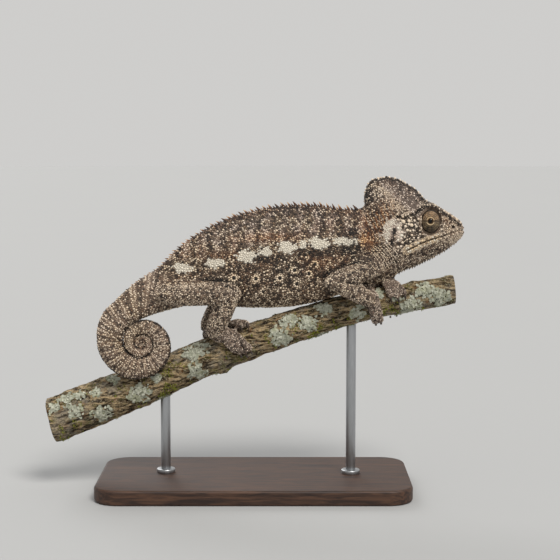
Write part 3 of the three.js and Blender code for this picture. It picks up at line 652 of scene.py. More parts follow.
def bodyMarks(points, m):
    x, y, z = points.T
    body = 1 - np.clip(m["onHead"] + m["onLeg"] + m["onTail"], 0, 1)
    middle = np.interp(x, [s[0] for s in stripe[::-1]], [s[1] for s in stripe[::-1]])
    above, below = smoothstep(z - middle, 3, 8), smoothstep(middle - z, 2, 8)
    bars = 0.5 + 0.5 * np.cos(2 * pi * (x - 9.9 - 0.12 * (z - 205)) / 12.5 + 0.7 * m["blotch"])
    beside = smoothstep(np.abs(z - middle - 14), 13, 3) * above
    white = np.full(len(points), -1.0)
    for cx, cz, long, tall in stripe:
        white = np.maximum(white, 1.1 - np.hypot((x - cx) / long, (z - cz) / tall))
    white += 0.35 * m["fine"] + 0.45 * cloudy(points, 1.7, 21, 1)
    m["stripe"] = smoothstep(white, 0.05, 0.3) * body * (1 - 0.35 * smoothstep(x, 62, 80))
    top = smoothstep(skin["normals"][:, 2], 0.45, 0.85)
    ring, heart = np.zeros(len(points)), np.zeros(len(points))
    for cx, cz, strength in rosettes:
        away = fromPlace(points, cx, cz)
        ring = np.maximum(ring, strength * smoothstep(away, 1.5, 2.1) * smoothstep(away, 4.5, 3.6))
        heart = np.maximum(heart, strength * (smoothstep(away, 2, 1.4) + 0.25 * bump(away - 5.4, 1.3)))
    patch = around(points, 76, 196.8, 11, 5) + 0.6 * around(points, 77, 208.5, 9, 3.6)
    patch += 0.7 * around(points, 44, 193.5, 13, 3) + 0.5 * around(points, 8, 189, 15, 3)
    clouds = smoothstep(z - 0.1 * x, 194, 206) * smoothstep(m["blotch"], -0.25, 0.4)
    m["grey"] += body * (0.25 + 0.4 * clouds + 0.35 * above * bars + 0.1 * below)
    ripples, within = neckRipples(points)
    within = within * (1 - m["onLeg"]) * smoothstep(np.abs(y), 3, 6)
    # painted light and shade on the neck's folds: paler on their crests, darker in the valleys between them
    m["light"] += within * (1.2 * ripples - 0.02)
    m["dark"] += within * (0.3 - 1.2 * ripples)
    pale = 0.3 * beside * (bars - 0.1) - 0.05 * below - 0.6 * patch
    m["light"] += body * (pale + 0.75 * ring - 1.2 * heart)
    m["light"] -= body * 0.14 * top
    deep = 0.2 * smoothstep(m["broad"], 0, 0.6) + 0.8 * patch + heart
    m["dark"] += body * (deep + beside * (0.1 - 0.6 * bars))
    # a painted lift around the armpit, which takes back part of the painted shade of the leg's fold there;
    # the belly is made lighter too
    armpit = body * around(points, 67, 184, 12, 5)
    belly = body * smoothstep(z - 0.1 * x, 172, 156)
    m["dark"] += body * 0.5 * top - 0.7 * armpit - 0.3 * belly
    m["light"] += 0.15 * armpit + 0.08 * belly
    m["rust"] += body * 0.35 * top
    m["dots"] += body * (0.16 * clouds + 0.04)
    m["warm"] += body * (0.3 * ring + 1.2 * around(points, 87, 201.5, 6, 4.5))
    m["light"] += body * 0.6 * around(points, 87, 201.5, 6, 4.5)
    rust = 0.22 * smoothstep(m["broad"], -0.1, 0.5) + 1.1 * around(points, 94, 213, 10, 14) * strands(points)
    rust += 0.9 * around(points, 88, 201, 7, 6) + 0.7 * around(points, 15, 204.5, 26, 4.2)
    rust += 0.55 * around(points, -20, 191, 18, 4) + 0.5 * around(points, 52, 187, 16, 4.5)
    rust += 0.3 * around(points, 62, 176, 14, 8)
    m["rust"] += body * rust * (0.8 + 0.5 * m["blotch"])


# The casque's upper edge as (x, z)
casqueEdge = [(88, 233), (89, 240), (92.5, 247), (97, 250.6), (104.8, 252.2), (113.9, 251), (121.4, 247.6),
              (128.8, 242.8), (133.5, 236.6), (136.5, 232.6)]


def headMarks(points, m):
    side = points[:, [0, 2]]
    x, y, z = points.T
    head = m["onHead"]
    band = bump(nearLine(side, face["band"])[0], 3.6)
    lateral = bump(nearLine(side, face["lateral"])[0], 1.6)
    mouth, lower, _ = nearLine(side, face["mouth"])
    lips = smoothstep(mouth, 4.2, 2.6) * smoothstep(x, 152, 143) * smoothstep(x, 115, 119)
    temple = smoothstep(z - (246.6 - 0.9 * (x - 97)), 1, 4) * smoothstep(np.abs(y), 0.8, 2.2)
    temple *= smoothstep(x, 134, 128)
    cheek = around(points, 105.8, 207.4, 5, 7.5) + around(points, 114.6, 208.6, 4, 8)
    cheek = smoothstep(cheek + 0.8 * around(points, 108.6, 215, 4.4, 5) + 0.55 * m["fine"], 0.3, 0.75)
    spot = around(points, 110.6, 209.8, 1.5, 3.2) + 0.5 * around(points, 109, 203, 1.6, 5)
    nape = around(points, 100, 218, 10, 12) * strands(points)
    chin = around(points, 158, 204.5, 12, 6) * smoothstep(np.abs(y), 1, 3)
    socket = smoothstep(fromEye(points), 1.3, 1.2) * smoothstep(np.abs(y), 3, 6)
    bridge = around(points, 149, 219, 8, 3.5)
    hind = around(points, 94, 233, 9, 13)
    m["light"] -= head * 0.1 * hind
    m["dark"] += head * 0.3 * hind
    m["light"] += head * (0.2 * smoothstep(x, 145, 156) + 0.1 * (lower < 0) * smoothstep(mouth, 8, 12))
    m["dark"] -= head * 0.2 * smoothstep(x, 140, 150)
    m["grey"] += head * (0.55 + 0.6 * temple + 0.5 * cheek - 0.4 * lips)
    nostril = fromPlace(points, *face["nostril"])
    # painted shade: darker in the groove below the lateral crest, in the nostril, along the mouth's slit and
    # under the brow
    groove = bump(nearLine(side - (0, -1.8), face["lateral"])[0], 1.0) + bump(nostril, 1.3)
    groove += bump(mouth, 0.7) * smoothstep(x, 154, 146)
    underBrow = bump(nearLine(side - (0, -1.9), face["brow"])[0], 0.9)
    m["dark"] += head * (2 * spot - 0.1 * temple + 0.2 * smoothstep(m["broad"], 0, 0.5) + 0.8 * groove)
    m["dark"] -= head * (1.5 * socket + 0.8 * cheek + 0.8 * lips)
    m["dark"] += head * underBrow
    m["light"] += head * 0.4 * bump(nostril - 2.4, 0.8)
    pale = 0.07 + 0.5 * band + 1.1 * lips + 0.8 * cheek + 0.3 * lateral + 0.4 * chin
    m["light"] += head * (pale + 0.6 * socket)
    m["light"] -= head * (2 * spot + 1.4 * groove + underBrow + 0.09 * temple * (1 - band))
    m["warm"] += head * (0.6 * lips + 0.15 * band)
    whiteLips = head * (0.42 + 0.3 * m["fine"]) * lips * smoothstep(mouth, 0.4, 1.1)
    m["stripe"] = np.maximum(np.maximum(m["stripe"], head * (0.58 * cheek - 2 * spot)), whiteLips)
    under = smoothstep(mouth, 7, 11) * (lower < 0) * smoothstep(x, 112, 118)
    m["light"] -= head * (0.1 * under + 0.06 * smoothstep(around(points, 123, 210, 11, 12), 0, 0.4))
    m["dark"] += head * (0.25 * under + 0.4 * around(points, 123, 209, 11, 12) * (1 - cheek))
    m["calm"] += head * (0.85 * temple + 0.7 * socket + 0.5 * cheek)
    rim = bump(nearLine(side, casqueEdge)[0], 3)
    m["dark"] += head * 0.5 * rim
    m["light"] -= head * (0.25 * rim + 0.11 * smoothstep(z, 228, 234) * (1 - temple))
    m["rust"] += head * (nape + 0.3 * bridge + 0.12 * smoothstep(m["blotch"], 0, 0.6)) * (1 - cheek)


def limbMarks(points, m):
    aside = smoothstep(np.abs(points[:, 1]), 3, 6)
    # painted shade just below each fold that runs round the shoulder
    for line in shoulderRows:
        below = bump(nearLine(points[:, [0, 2]] + (0, 1.4), line)[0], 1.1) * aside
        m["dark"] += 0.4 * below
        m["light"] -= 0.2 * below
    m["grey"] += 0.5 * m["onLeg"] + 0.25 * m["onFoot"]
    m["light"] += 0.16 * m["onLeg"] - 0.16 * m["onFoot"]
    m["dark"] -= 0.12 * m["onLeg"]
    m["calm"] += 0.4 * m["onFoot"]
    m["dots"] += 0.1 * m["onLeg"] * (1 - m["onFoot"])
    # painted shade on the feet of the far side
    m["dark"] += 0.3 * m["onFoot"] * (points[:, 1] > 0)
    m["warm"] += 0.25 * m["onLeg"]
    free = smoothstep(downLimb(points), 0.3, 0.8)
    shadow = np.clip(4 * m["onLeg"] * (1 - m["onLeg"]), 0, 1) * free * smoothstep(m["onLeg"], 0.75, 0.4)
    grooves = limbGrooves(points)[0] * smoothstep(np.abs(skin["normals"][:, 1]), 0.3, 0.6)
    shadow = np.maximum(shadow, skin["crease"]) + grooves
    m["dark"] += 0.8 * shadow
    m["light"] -= 0.45 * shadow


def coilSeams(points):
    # 1 in the narrow grooves between the windings of the tail
    reach, turned = aroundCoil(points)
    nearest = np.full(len(points), 9.0)
    for turn in range(4):
        degrees = turned + 360 * turn
        away = np.abs(reach - coilRadius(degrees)) / (coilRadius(degrees) * coil["thickness"])
        nearest = np.where(degrees > 170, np.minimum(nearest, away), nearest)
    return smoothstep(nearest, 0.84, 0.97) * (nearest < 1.3)


def tailMarks(points, m):
    # soft bands across the tail
    count, degrees = coilRows(points, 22, 0.2)
    bands = np.cos(2 * pi * count + 0.6 * m["blotch"]) * smoothstep(degrees, 700, 500)
    coiled = shareOf(coilNodes)
    inner = bump(aroundCoil(points)[0], 9)
    m["grey"] += m["onTail"] * (0.5 + 0.3 * m["broad"])
    # painted shade in the narrow grooves between the coil's windings
    between = coilSeams(points) * coiled
    m["light"] += m["onTail"] * (0.34 + 0.27 * bands - 1.3 * between)
    m["dark"] += m["onTail"] * (1.5 * between - 0.4 - 0.6 * bands)
    m["calm"] += m["onTail"] * (0.3 + 0.45 * smoothstep(degrees, 440, 560)) * (1 - between)
    m["dots"] += m["onTail"] * 0.06
    m["rust"] += m["onTail"] * (0.06 + 0.08 * inner)
    m["warm"] += m["onTail"] * (0.1 + 0.2 * inner)


def markings():
    points = skin["points"]
    m = dict(onHead=shareOf(headNodes), onLeg=shareOf(legNames, 8), onTail=shareOf(("tail",), 40))
    feet = tuple(f"{leg}_{part}" for leg in legNames for part in ("palm", "toes"))
    m["onFoot"] = shareOf(feet, 8)
    m["fine"] = cloudy(points, 3.2, 4, 2)
    m["blotch"] = cloudy(points, 9, 6, 2)
    m["broad"] = cloudy(points, 24, 5, 2)
    m["light"] = 0.14 + 0.12 * m["blotch"]
    m["dark"] = 0.25 + 0.3 * m["blotch"]
    for name in ("grey", "rust", "warm", "dots", "calm"):
        m[name] = np.zeros(len(points))
    for addMarks in (bodyMarks, headMarks, limbMarks, tailMarks):
        addMarks(points, m)
    marks = {n: np.clip(m[n], 0, 1) for n in hideMasks + ("light", "stripe", "dots", "calm")}
    marks["fine"], marks["onTail"] = m["fine"], m["onTail"]
    return marks


marks = markings()
print("markings on", len(skin["points"]), "points")


# Scales.

class Crowd:
    # round scales that keep off each other, whatever their sizes
    cell = 3.0
    packing = 0.88

    def __init__(self):
        self.cells = {}

    def free(self, x, y, z, radius):
        i, j, k = int(x // self.cell), int(y // self.cell), int(z // self.cell)
        get = self.cells.get
        for a in (i, i - 1, i + 1):
            for b in (j, j - 1, j + 1):
                for c in (k, k - 1, k + 1):
                    for px, py, pz, other in get((a, b, c), ()):
                        least = (radius + other) * self.packing
                        if (px - x) ** 2 + (py - y) ** 2 + (pz - z) ** 2 < least * least:
                            return False
        return True

    def add(self, x, y, z, radius):
        cell = (int(x // self.cell), int(y // self.cell), int(z // self.cell))
        self.cells.setdefault(cell, []).append((x, y, z, radius))

    def takes(self, x, y, z, radius):
        if self.free(x, y, z, radius):
            self.add(x, y, z, radius)
            return True
        return False


# Each class of scale is (half width over the middling one, tries for each place, height over half width)
scatter = dict(seed=11, unevenness=0.12, tailRows=68, tailReach=62)
scatter["classes"] = ((1.38, 0.12, 0.7), (1.0, 0.9, 0.6), (0.74, 1.5, 0.52), (0.52, 1.3, 0.46))
# Rows of bead scales: places on the side or seen from a middle, then spacing, half width and height
beadRows = [
    dict(line=casqueEdge, middle=(112, 226), spacing=2.2, wide=1.0, tall=1.0),
    dict(line=face["brow"], spacing=2.1, wide=0.85, tall=0.95),
    dict(line=face["lateral"], spacing=2.2, wide=0.95, tall=1.0),
    dict(line=[(x, z - 1.5) for x, z in face["mouth"][1:]], spacing=1.7, wide=0.8, tall=0.5),
    dict(line=[(x, z + 1.5) for x, z in face["mouth"][1:]], spacing=1.7, wide=0.8, tall=0.5),
    dict(line=[(95, 243), (101, 238.6), (108, 233), (113, 229.5)], spacing=2.3, wide=0.8, tall=0.7),
]
# The big flat scales of the cheek and snout as (x, z, half width), and where small ones lie between them
cheekScales = [(117.9, 217.2, 1.9), (122.3, 217.7, 1.6), (124.3, 214.5, 1.7), (119.5, 213.6, 1.3)]
cheekScales += [(126.6, 218, 1.2), (121, 210.6, 1.4), (128, 213.4, 1.2), (117.4, 221, 1.2)]
cheekScales += [(125.6, 210.4, 1.1), (131, 207.5, 1.1), (146.8, 214.2, 1.1), (150.6, 214.8, 1.2)]
cheekScales += [(148, 211, 1.0), (116.5, 209, 1.2), (114, 205, 1.1)]
cheekGranules = dict(count=70, ranges=((113, 134), (197, 221), (0.85, 1.35)))


def neckLines():
    # the crests of the neck's fine folds
    first, last = np.array(neckFolds["start"]), np.array(neckFolds["end"])
    ahead = unit(last - first)
    aside = np.array([-ahead[1], ahead[0]])
    lines = []
    for k in range(-4, 4):
        steps = np.linspace(-(9, 6, 10, 7.5)[k % 4], (9.5, 11, 7.5)[k % 3], 7)
        across = (k + 0.5 + 0.14 * sin(2.4 * k)) * neckFolds["spacing"] - neckFolds["bend"] * steps**2
        across += 0.3 * np.sin(steps / 2.5 + 2 * k)
        lines.append([tuple((first + last) / 2 + s * ahead + a * aside) for s, a in zip(steps, across)])
    return lines


# How light the beads of a row are, over and over, with 0 where one is left out
mixedLights = (0.95, 0.85, 1.0, 0.35, 1.0, 0.55, 0.95, 0.3)
neckRow = dict(spacing=1.15, wide=0.6, tall=0.42, lights=(1.0, 0.85, 0.95, 0, 0.9, 0.4, 1.0, 0.7))
shoulderRow = dict(spacing=1.25, wide=0.58, tall=0.4, lights=(0.9, 0, 0.6, 0.8, 0, 0.45, 0.9, 0.25))
beadRows += [dict(line=line, **neckRow) for line in neckLines()]
beadRows += [dict(line=line, **shoulderRow) for line in shoulderRows]


def alongLine(line, spacing):
    # evenly spaced places on a broken line
    line = np.array(line, float)
    steps = np.linalg.norm(np.diff(line, axis=0), axis=1)
    before = np.concatenate([[0], np.cumsum(steps)])
    at = np.linspace(0, before[-1], int(before[-1] / spacing) + 1)
    return np.stack([np.interp(at, before, column) for column in line.T], axis=1)


def shareIn(triangle, place):
    # where in a triangle a place is, as shares of its three corners
    a, b, c = skin["points"][skin["corners"][triangle]]
    u, v = np.linalg.lstsq(np.array([b - a, c - a]).T, np.array(place) - a, rcond=None)[0]
    return np.clip([1 - u - v, u, v], 0, 1)


def ontoSkin(x, z, middle=None, side=-1):
    # the place on the skin seen from the side, or from outside towards a middle
    if middle is None:
        start, way = Vector((x, side * 60, z)), Vector((0, -side, 0))
    else:
        outwards = unit(np.array([x - middle[0], z - middle[1]]))
        start = Vector((x + 25 * outwards[0], 0, z + 25 * outwards[1]))
        way = Vector((-outwards[0], 0, -outwards[1]))
    place, _, triangle, _ = skinTree.ray_cast(start, way)
    return place, triangle


def setBeads():
    # the scales that have places of their own, as rows of numbers: triangle, 3 shares, width, height, light
    beads = []

    def put(place, triangle, wide, tall, light):
        if place is not None and crowd.takes(*place, wide * 0.9):
            beads.append([triangle, *shareIn(triangle, place), wide, tall, light])

    rng = np.random.default_rng(scatter["seed"])
    more = zip(*[rng.uniform(*ends, cheekGranules["count"]) for ends in cheekGranules["ranges"]])
    for x, z, wide in cheekScales + list(more):
        for side in (-1, 1):
            put(*ontoSkin(x, z, side=side), wide, 0.42, 0.95 if wide > 0.9 else 0.1)
    for x, z, strength in rosettes:
        for side in (-1, 1):
            put(*ontoSkin(x, z, side=side), 1.05, 0.4, 0)
            for i in range(8):
                turn = 2 * pi * (i + 0.3 * x) / 8
                if i < 10 * strength:
                    put(*ontoSkin(x + 2.2 * cos(turn), z + 2.2 * sin(turn), side=side), 0.95, 0.62, 1)
    for row in beadRows:
        for i, (x, z) in enumerate(alongLine(row["line"], row["spacing"])):
            light = row.get("lights", mixedLights)[(i * 3 + round(5 * row["line"][0][0])) % 8]
            tall = row["tall"] * (1 if light > 0.6 else 0.6)
            for side in () if light == 0 else (1,) if "middle" in row else (-1, 1):
                place, triangle = ontoSkin(x, z, row.get("middle"), side)
                put(place, triangle, row["wide"], tall / row["wide"], light)
    return np.array(beads)


def isBare(places):
    # whether a place is in the eye's socket or on the folds around it, in a nostril or in the mouth's line
    mouth = nearLine(places[:, [0, 2]], face["mouth"])[0]
    bare = (fromEye(places) < 1.2) & (np.abs(places[:, 1]) > 5)
    bare |= fromPlace(places, *face["nostril"]) < 1.1
    return bare | (mouth < 0.5) & (places[:, 0] < 154)


def scattered():
    # the other scales, the big ones first
    rng = np.random.default_rng(scatter["seed"])
    points, corners = skin["points"], skin["corners"]
    a, b, c = (points[corners[:, k]] for k in range(3))
    area = np.linalg.norm(np.cross(b - a, c - a), axis=1) / 2
    radius = skin["size"][corners].mean(axis=1)
    total = np.cumsum(area / radius**2)
    rows = []
    for factor, tries, tall in scatter["classes"]:
        count = int(total[-1] * tries)
        triangle = np.searchsorted(total, rng.random(count) * total[-1])
        u, v = rng.random((2, count))
        flip = u + v > 1
        u, v = np.where(flip, 1 - u, u), np.where(flip, 1 - v, v)
        share = np.stack([1 - u - v, u, v], axis=1)
        place = sampled(points, triangle, share)
        uneven = rng.uniform(1 - scatter["unevenness"], 1 + scatter["unevenness"], count)
        wide = radius[triangle] * factor * uneven
        bare = isBare(place)
        if factor >= 1:
            # the bigger scales of the tail keep to rows across it
            across = coilRows(place, scatter["tailRows"])[0]
            onTail = np.char.startswith(skin["labels"][corners[triangle, 0]], "tail")
            onTail &= aroundCoil(place)[0] < scatter["tailReach"]
            bare |= onTail & (np.abs(across % 1 - 0.5) > 0.26)
        tries = zip(place.tolist(), wide.tolist(), bare.tolist())
        taken = np.array([not hidden and crowd.takes(*p, r) for p, r, hidden in tries])
        unset = np.full(count, -1.0)
        rows.append(np.column_stack([triangle, share, wide, np.full(count, tall), unset])[taken])
    return np.concatenate(rows)


def lightFor(table, speck, dots, clumps, calm, rng):
    # pale for a share of the scales that follows the markings, and the others uneven with dark pits
    count = len(table)
    bigger = np.clip(table["wide"] / table["middling"] - 0.85, -0.3, 0.6)
    gathered = (1.2 * smoothstep(clumps, -0.35, 0.4) - 0.6) * (1 - speck)
    pale = np.clip(speck * (1 + gathered) + 0.3 * bigger * (speck > 0.06), 0, 0.97)
    uneven = (0.3 * clumps + rng.normal(0, 0.22, count)) * (1 - 0.7 * calm)
    middling = np.clip(0.44 + uneven, 0.05, 0.88)
    pits = (0.17 + 0.4 * smoothstep(-clumps, 0, 0.5) + dots) * (1 - 0.8 * speck) * (1 - 0.8 * calm)
    light = np.where(rng.random(count) < pits, 0, middling)
    return np.where(rng.random(count) < pale, rng.uniform(0.8, 1, count), light)


def describeScales(rows):
    rng = np.random.default_rng(23)
    triangle, share = rows[:, 0].astype(int), rows[:, 1:4]

    def at(values):
        return sampled(values, triangle, share)

    normal = unit(at(skin["normals"]))
    lie = layFlat(at(skin["lie"]) + rng.normal(0, 0.16, (len(rows), 3)), normal)
    names = ("triangle", "wide", "middling", "tall", "light", "stripe") + hideMasks
    table = np.zeros(len(rows), dtype=[(n, float) for n in names])
    table["triangle"], table["wide"], table["tall"] = triangle, rows[:, 4], rows[:, 5]
    table["middling"] = at(skin["size"])
    for name in hideMasks:
        table[name] = np.clip(at(marks[name]) + rng.normal(0, 0.1, len(rows)), 0, 1)
    table["stripe"] = at(marks["stripe"]) > rng.uniform(0.3, 0.7, len(rows))
    table["stripe"] *= rng.uniform(0.8, 1, len(rows))
    random = lightFor(table, *(at(marks[n]) for n in ("light", "dots", "fine", "calm")), rng)
    table["light"] = np.where(rows[:, 6] < 0, random, rows[:, 6])
    # the scales between the tail's rows are darker
    across, degrees = coilRows(at(skin["points"]), scatter["tailRows"])
    between = smoothstep(np.abs(across % 1 - 0.5), 0.24, 0.4) * at(marks["onTail"])
    between *= smoothstep(degrees, 560, 400)
    table["light"] *= 1 - 0.6 * between
    return table, at(skin["points"]), normal, lie, share


crowd = Crowd()
skinTree = BVHTree.FromPolygons(skin["points"].tolist(), skin["corners"].tolist())
beads = setBeads()
rows = np.concatenate([beads, scattered()])
table, roots, normals, lies, shares = describeScales(rows)
print("scales", len(rows), "of which beads", len(beads))


# Materials. A wire is a node's output, and sums on it add maths nodes.

def paint(red, green, blue):
    # a colour given as it looks on a screen, from 0 to 255
    return tuple((c / 255) ** 2.2 for c in (red, green, blue)) + (1,)


class Wire:
    def __init__(self, finish, socket):
        self.finish, self.socket = finish, socket

    def sum(self, operation, a, b=None, clamp=False):
        values = {0: a} if b is None else {0: a, 1: b}
        return self.finish.node("ShaderNodeMath", values, operation=operation, use_clamp=clamp)

    def __add__(self, other):
        return self.sum("ADD", self, other)

    def __mul__(self, other):
        return self.sum("MULTIPLY", self, other)

    def __sub__(self, other):
        return self.sum("SUBTRACT", self, other)

    def __rsub__(self, other):
        return self.sum("SUBTRACT", other, self)

    __radd__ = __add__
    __rmul__ = __mul__

    def within(self):
        return self.sum("ADD", self, 0.0, clamp=True)

    def ramp(self, low, high):
        # 0 below low and 1 above high
        values = {0: self, 1: low, 2: high}
        return self.finish.node("ShaderNodeMapRange", values, interpolation_type="SMOOTHSTEP")


class Finish:
    def __init__(self, name, **constants):
        self.material = bpy.data.materials.new(name)
        self.material.use_nodes = True
        self.tree = self.material.node_tree
        self.shader = self.tree.nodes["Principled BSDF"]
        for socket, value in constants.items():
            self.shader.inputs[socket.replace("_", " ")].default_value = value
        self.where = self.node("ShaderNodeTexCoord", {}, output="Object")

    def node(self, kind, values, output=0, **settings):
        # a node with its settings, and with values or wires for its sockets
        made = self.tree.nodes.new(kind)
        for name, value in settings.items():
            setattr(made, name, value)
        for name, value in values.items():
            if isinstance(value, Wire):
                self.tree.links.new(value.socket, made.inputs[name])
            else:
                made.inputs[name].default_value = value
        return Wire(self, made.outputs[output])

    def mask(self, name):
        return self.node("ShaderNodeAttribute", {}, output="Fac", attribute_name=name)

    def blend(self, share, a, b, how="MIX"):
        return self.node("ShaderNodeMix", {0: share, 6: a, 7: b}, output=2, data_type="RGBA", blend_type=how)

    def scaled(self, x, y, z):
        values = {0: self.where, 1: (x, y, z)}
        return self.node("ShaderNodeVectorMath", values, operation="MULTIPLY")

    def clouds(self, size, detail=3.0, roughness=0.55, where=None, warp=0.0):
        # noise from 0 to 1 with features of a size in millimetres
        values = {"Vector": where or self.where, "Scale": 1 / (size * mm), "Detail": detail}
        values.update({"Roughness": roughness, "Distortion": warp})
        return self.node("ShaderNodeTexNoise", values)

    def cells(self, size, where=None, feature="F1"):
        # the distance from the middles or the edges of cells of a size in millimetres
        values = {"Vector": where or self.where, "Scale": 1 / (size * mm)}
        return self.node("ShaderNodeTexVoronoi", values, feature=feature)

    def give(self, colour, roughness=None, height=None, depth=0.1):
        # depth is how far the bump stands out, in millimetres
        for name, value in (("Base Color", colour), ("Roughness", roughness)):
            if value is not None:
                self.tree.links.new(value.socket, self.shader.inputs[name])
        if height is not None:
            normal = self.node("ShaderNodeBump", {"Height": height, "Distance": depth * mm, "Strength": 1.0})
            self.tree.links.new(normal.socket, self.shader.inputs["Normal"])
        return self.material


hide = dict(
    ground=paint(44, 33, 24), black=paint(22, 18, 16), brown=paint(136, 114, 88), stone=paint(152, 134, 122),
    rust=paint(160, 98, 52), darkRust=paint(76, 44, 26), cream=paint(234, 216, 184), tan=paint(228, 182, 126),
    pink=paint(232, 214, 198), white=paint(248, 240, 222), greyDark=paint(58, 50, 46),
)


def hideColour(f, light):
    # the animal's colour from its markings and from how light this scale is
    rust, grey, warm, dark = (f.mask(n) for n in hideMasks)
    deep = f.blend(grey, hide["ground"], hide["greyDark"])
    deep = f.blend((rust * 0.7).within(), deep, hide["darkRust"])
    deep = f.blend(dark, deep, hide["black"])
    middling = f.blend(grey, hide["brown"], hide["stone"])
    middling = f.blend(rust, middling, hide["rust"])
    middling = f.blend((dark * 0.75).within(), middling, deep)
    pale = f.blend(grey, hide["cream"], hide["pink"])
    pale = f.blend((rust * 0.75).within(), pale, hide["tan"])
    pale = f.blend((warm * 0.5 - grey * 0.2).within(), pale, hide["tan"])
    colour = f.blend((light * 2.2).within(), deep, middling)
    colour = f.blend((light * 2.2 - 1.1).within(), colour, pale)
    return f.blend(f.mask("stripe"), colour, hide["white"])


def scaleFinish():
    f = Finish("scales", Specular_IOR_Level=0.42)
    wear = f.clouds(0.5, 2)
    colour = hideColour(f, f.mask("light"))
    colour = f.blend((wear.ramp(0.35, 0.75) * 0.25).within(), colour, hide["greyDark"], "MULTIPLY")
    return f.give(colour, 0.62 - 0.16 * wear, wear, 0.05)


def skinFinish():
    f = Finish("skin", Specular_IOR_Level=0.35)
    grain = 1 - f.cells(0.55)
    broad = f.clouds(2.4)
    # the skin between the scales is kept much darker than they are: partly its own dark colour, partly
    # painted shade in the gaps between them
    light = (f.mask("light") * 0.24 + broad * 0.08 + 0.01).within()
    return f.give(hideColour(f, light), 0.72 - 0.12 * broad, grain, 0.16)


# Pieces.

def placed(points):
    return np.asarray(points) * mm + home


def fill(mesh, points, corners):
    # triangles into an empty mesh
    mesh.vertices.add(len(points))
    mesh.vertices.foreach_set("co", np.ravel(placed(points)).astype(np.float32))
    mesh.loops.add(3 * len(corners))
    mesh.loops.foreach_set("vertex_index", np.ravel(corners).astype(np.int32))
    mesh.polygons.add(len(corners))
    mesh.polygons.foreach_set("loop_start", np.arange(0, 3 * len(corners), 3, dtype=np.int32))
    mesh.update(calc_edges=True)


def pieceFrom(name, shape, material, replaces=(), masks=None, smooth=True):
    # an object from a mesh or from (points, triangles)
    mesh = shape
    if isinstance(shape, tuple):
        mesh = bpy.data.meshes.new(name)
        fill(mesh, *shape)
    mesh.polygons.foreach_set("use_smooth", [smooth] * len(mesh.polygons))
    for mask, values in (masks or {}).items():
        attribute = mesh.attributes.new(mask, "FLOAT", "POINT")
        attribute.data.foreach_set("value", np.asarray(values, np.float32))
    piece = addObject(name, mesh)
    mesh.materials.append(material)
    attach(piece, "root")
    if replaces:
        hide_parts(*replaces)
    return piece


def meshFrom(shape, name):
    # a finished bmesh as a mesh of triangles, with its points moved to their place
    bmesh.ops.triangulate(shape, faces=shape.faces[:])
    movePoints(shape, placed([v.co for v in shape.verts]))
    return asMesh(shape, name)


def template(shape):
    # a small bmesh as arrays, to be copied many times
    bmesh.ops.triangulate(shape, faces=shape.faces[:])
    shape.verts.index_update()
    points = np.array([v.co for v in shape.verts])
    corners = np.array([[v.index for v in f.verts] for f in shape.faces])
    shape.free()
    return points, corners


def domeShape(sides):
    # a thin scale of half width 1, rising to its rear edge
    dome = bmesh.new()
    bmesh.ops.create_cone(dome, cap_ends=True, segments=sides, radius1=1, radius2=0.74, depth=2)
    top = [f for f in dome.faces if f.normal.z > 0.9]
    peak = bmesh.ops.poke(dome, faces=top)["verts"]
    for v in dome.verts:
        if v in peak:
            v.co = (0.26, 0, 1)
        elif v.co.z > 0:
            v.co = (v.co.x * 1.02 + 0.16, v.co.y, 0.52 + 0.3 * v.co.x)
        else:
            v.co = (v.co.x * 1.12, v.co.y, -0.7)
    return template(dome)


def spikeShape(sides, rings):
    # a spike of length 1 that leans back and is flat from side to side
    spike = bmesh.new()
    bmesh.ops.create_cone(spike, cap_ends=True, segments=sides, radius1=1, radius2=0.12, depth=1)
    upright = [e for e in spike.edges if rise(e) > 0.9]
    bmesh.ops.subdivide_edges(spike, edges=upright, cuts=rings)
    for v in spike.verts:
        up = v.co.z + 0.5
        swell = 1 + 0.5 * up * (1 - up)
        v.co = (v.co.x * swell + 0.75 * up**1.7, 0.62 * v.co.y * swell, up * 1.25 - 0.25)
    return template(spike)


def strewn(shape, roots, lies, normals, sizes):
    # copies of a small shape. Sizes are its length, width and height at each root
    points, corners = shape
    across = np.cross(normals, lies)
    basis = np.stack([lies, across, normals], axis=1) * sizes[:, :, None]
    placedPoints = roots[:, None, :] + np.einsum("vk,nkd->nvd", points, basis)
    offsets = len(points) * np.arange(len(roots))
    return placedPoints.reshape(-1, 3), (corners[None] + offsets[:, None, None]).reshape(-1, 3)


# The bake map: the sharpest bend inside an island, gaps and border as shares of the map, and a patch's size
bakeMap = dict(bend=66, gap=0.004, border=0.02, patch=0.003)


def unwrapped(corners):
    # a flat layout of part of the skin, as (u, v) for each corner of each triangle
    used, local = np.unique(corners, return_inverse=True)
    mesh = bpy.data.meshes.new("layout")
    fill(mesh, skin["points"][used], local.reshape(-1, 3))
    sheet = addObject("layout", mesh)
    bpy.context.view_layer.objects.active = sheet
    sheet.select_set(True)
    bpy.ops.object.mode_set(mode="EDIT")
    bpy.ops.mesh.select_all(action="SELECT")
    bpy.ops.uv.smart_project(angle_limit=radians(bakeMap["bend"]), island_margin=bakeMap["gap"])
    bpy.ops.object.mode_set(mode="OBJECT")
    flat = np.zeros(2 * len(mesh.loops))
    mesh.uv_layers.active.data.foreach_get("uv", flat)
    bpy.data.objects.remove(sheet)
    bpy.data.meshes.remove(mesh)
    flat = flat.reshape(-1, 3, 2)
    low, high = flat.min(axis=(0, 1)), flat.max(axis=(0, 1))
    return bakeMap["border"] + (1 - 2 * bakeMap["border"]) * (flat - low) / (high - low)


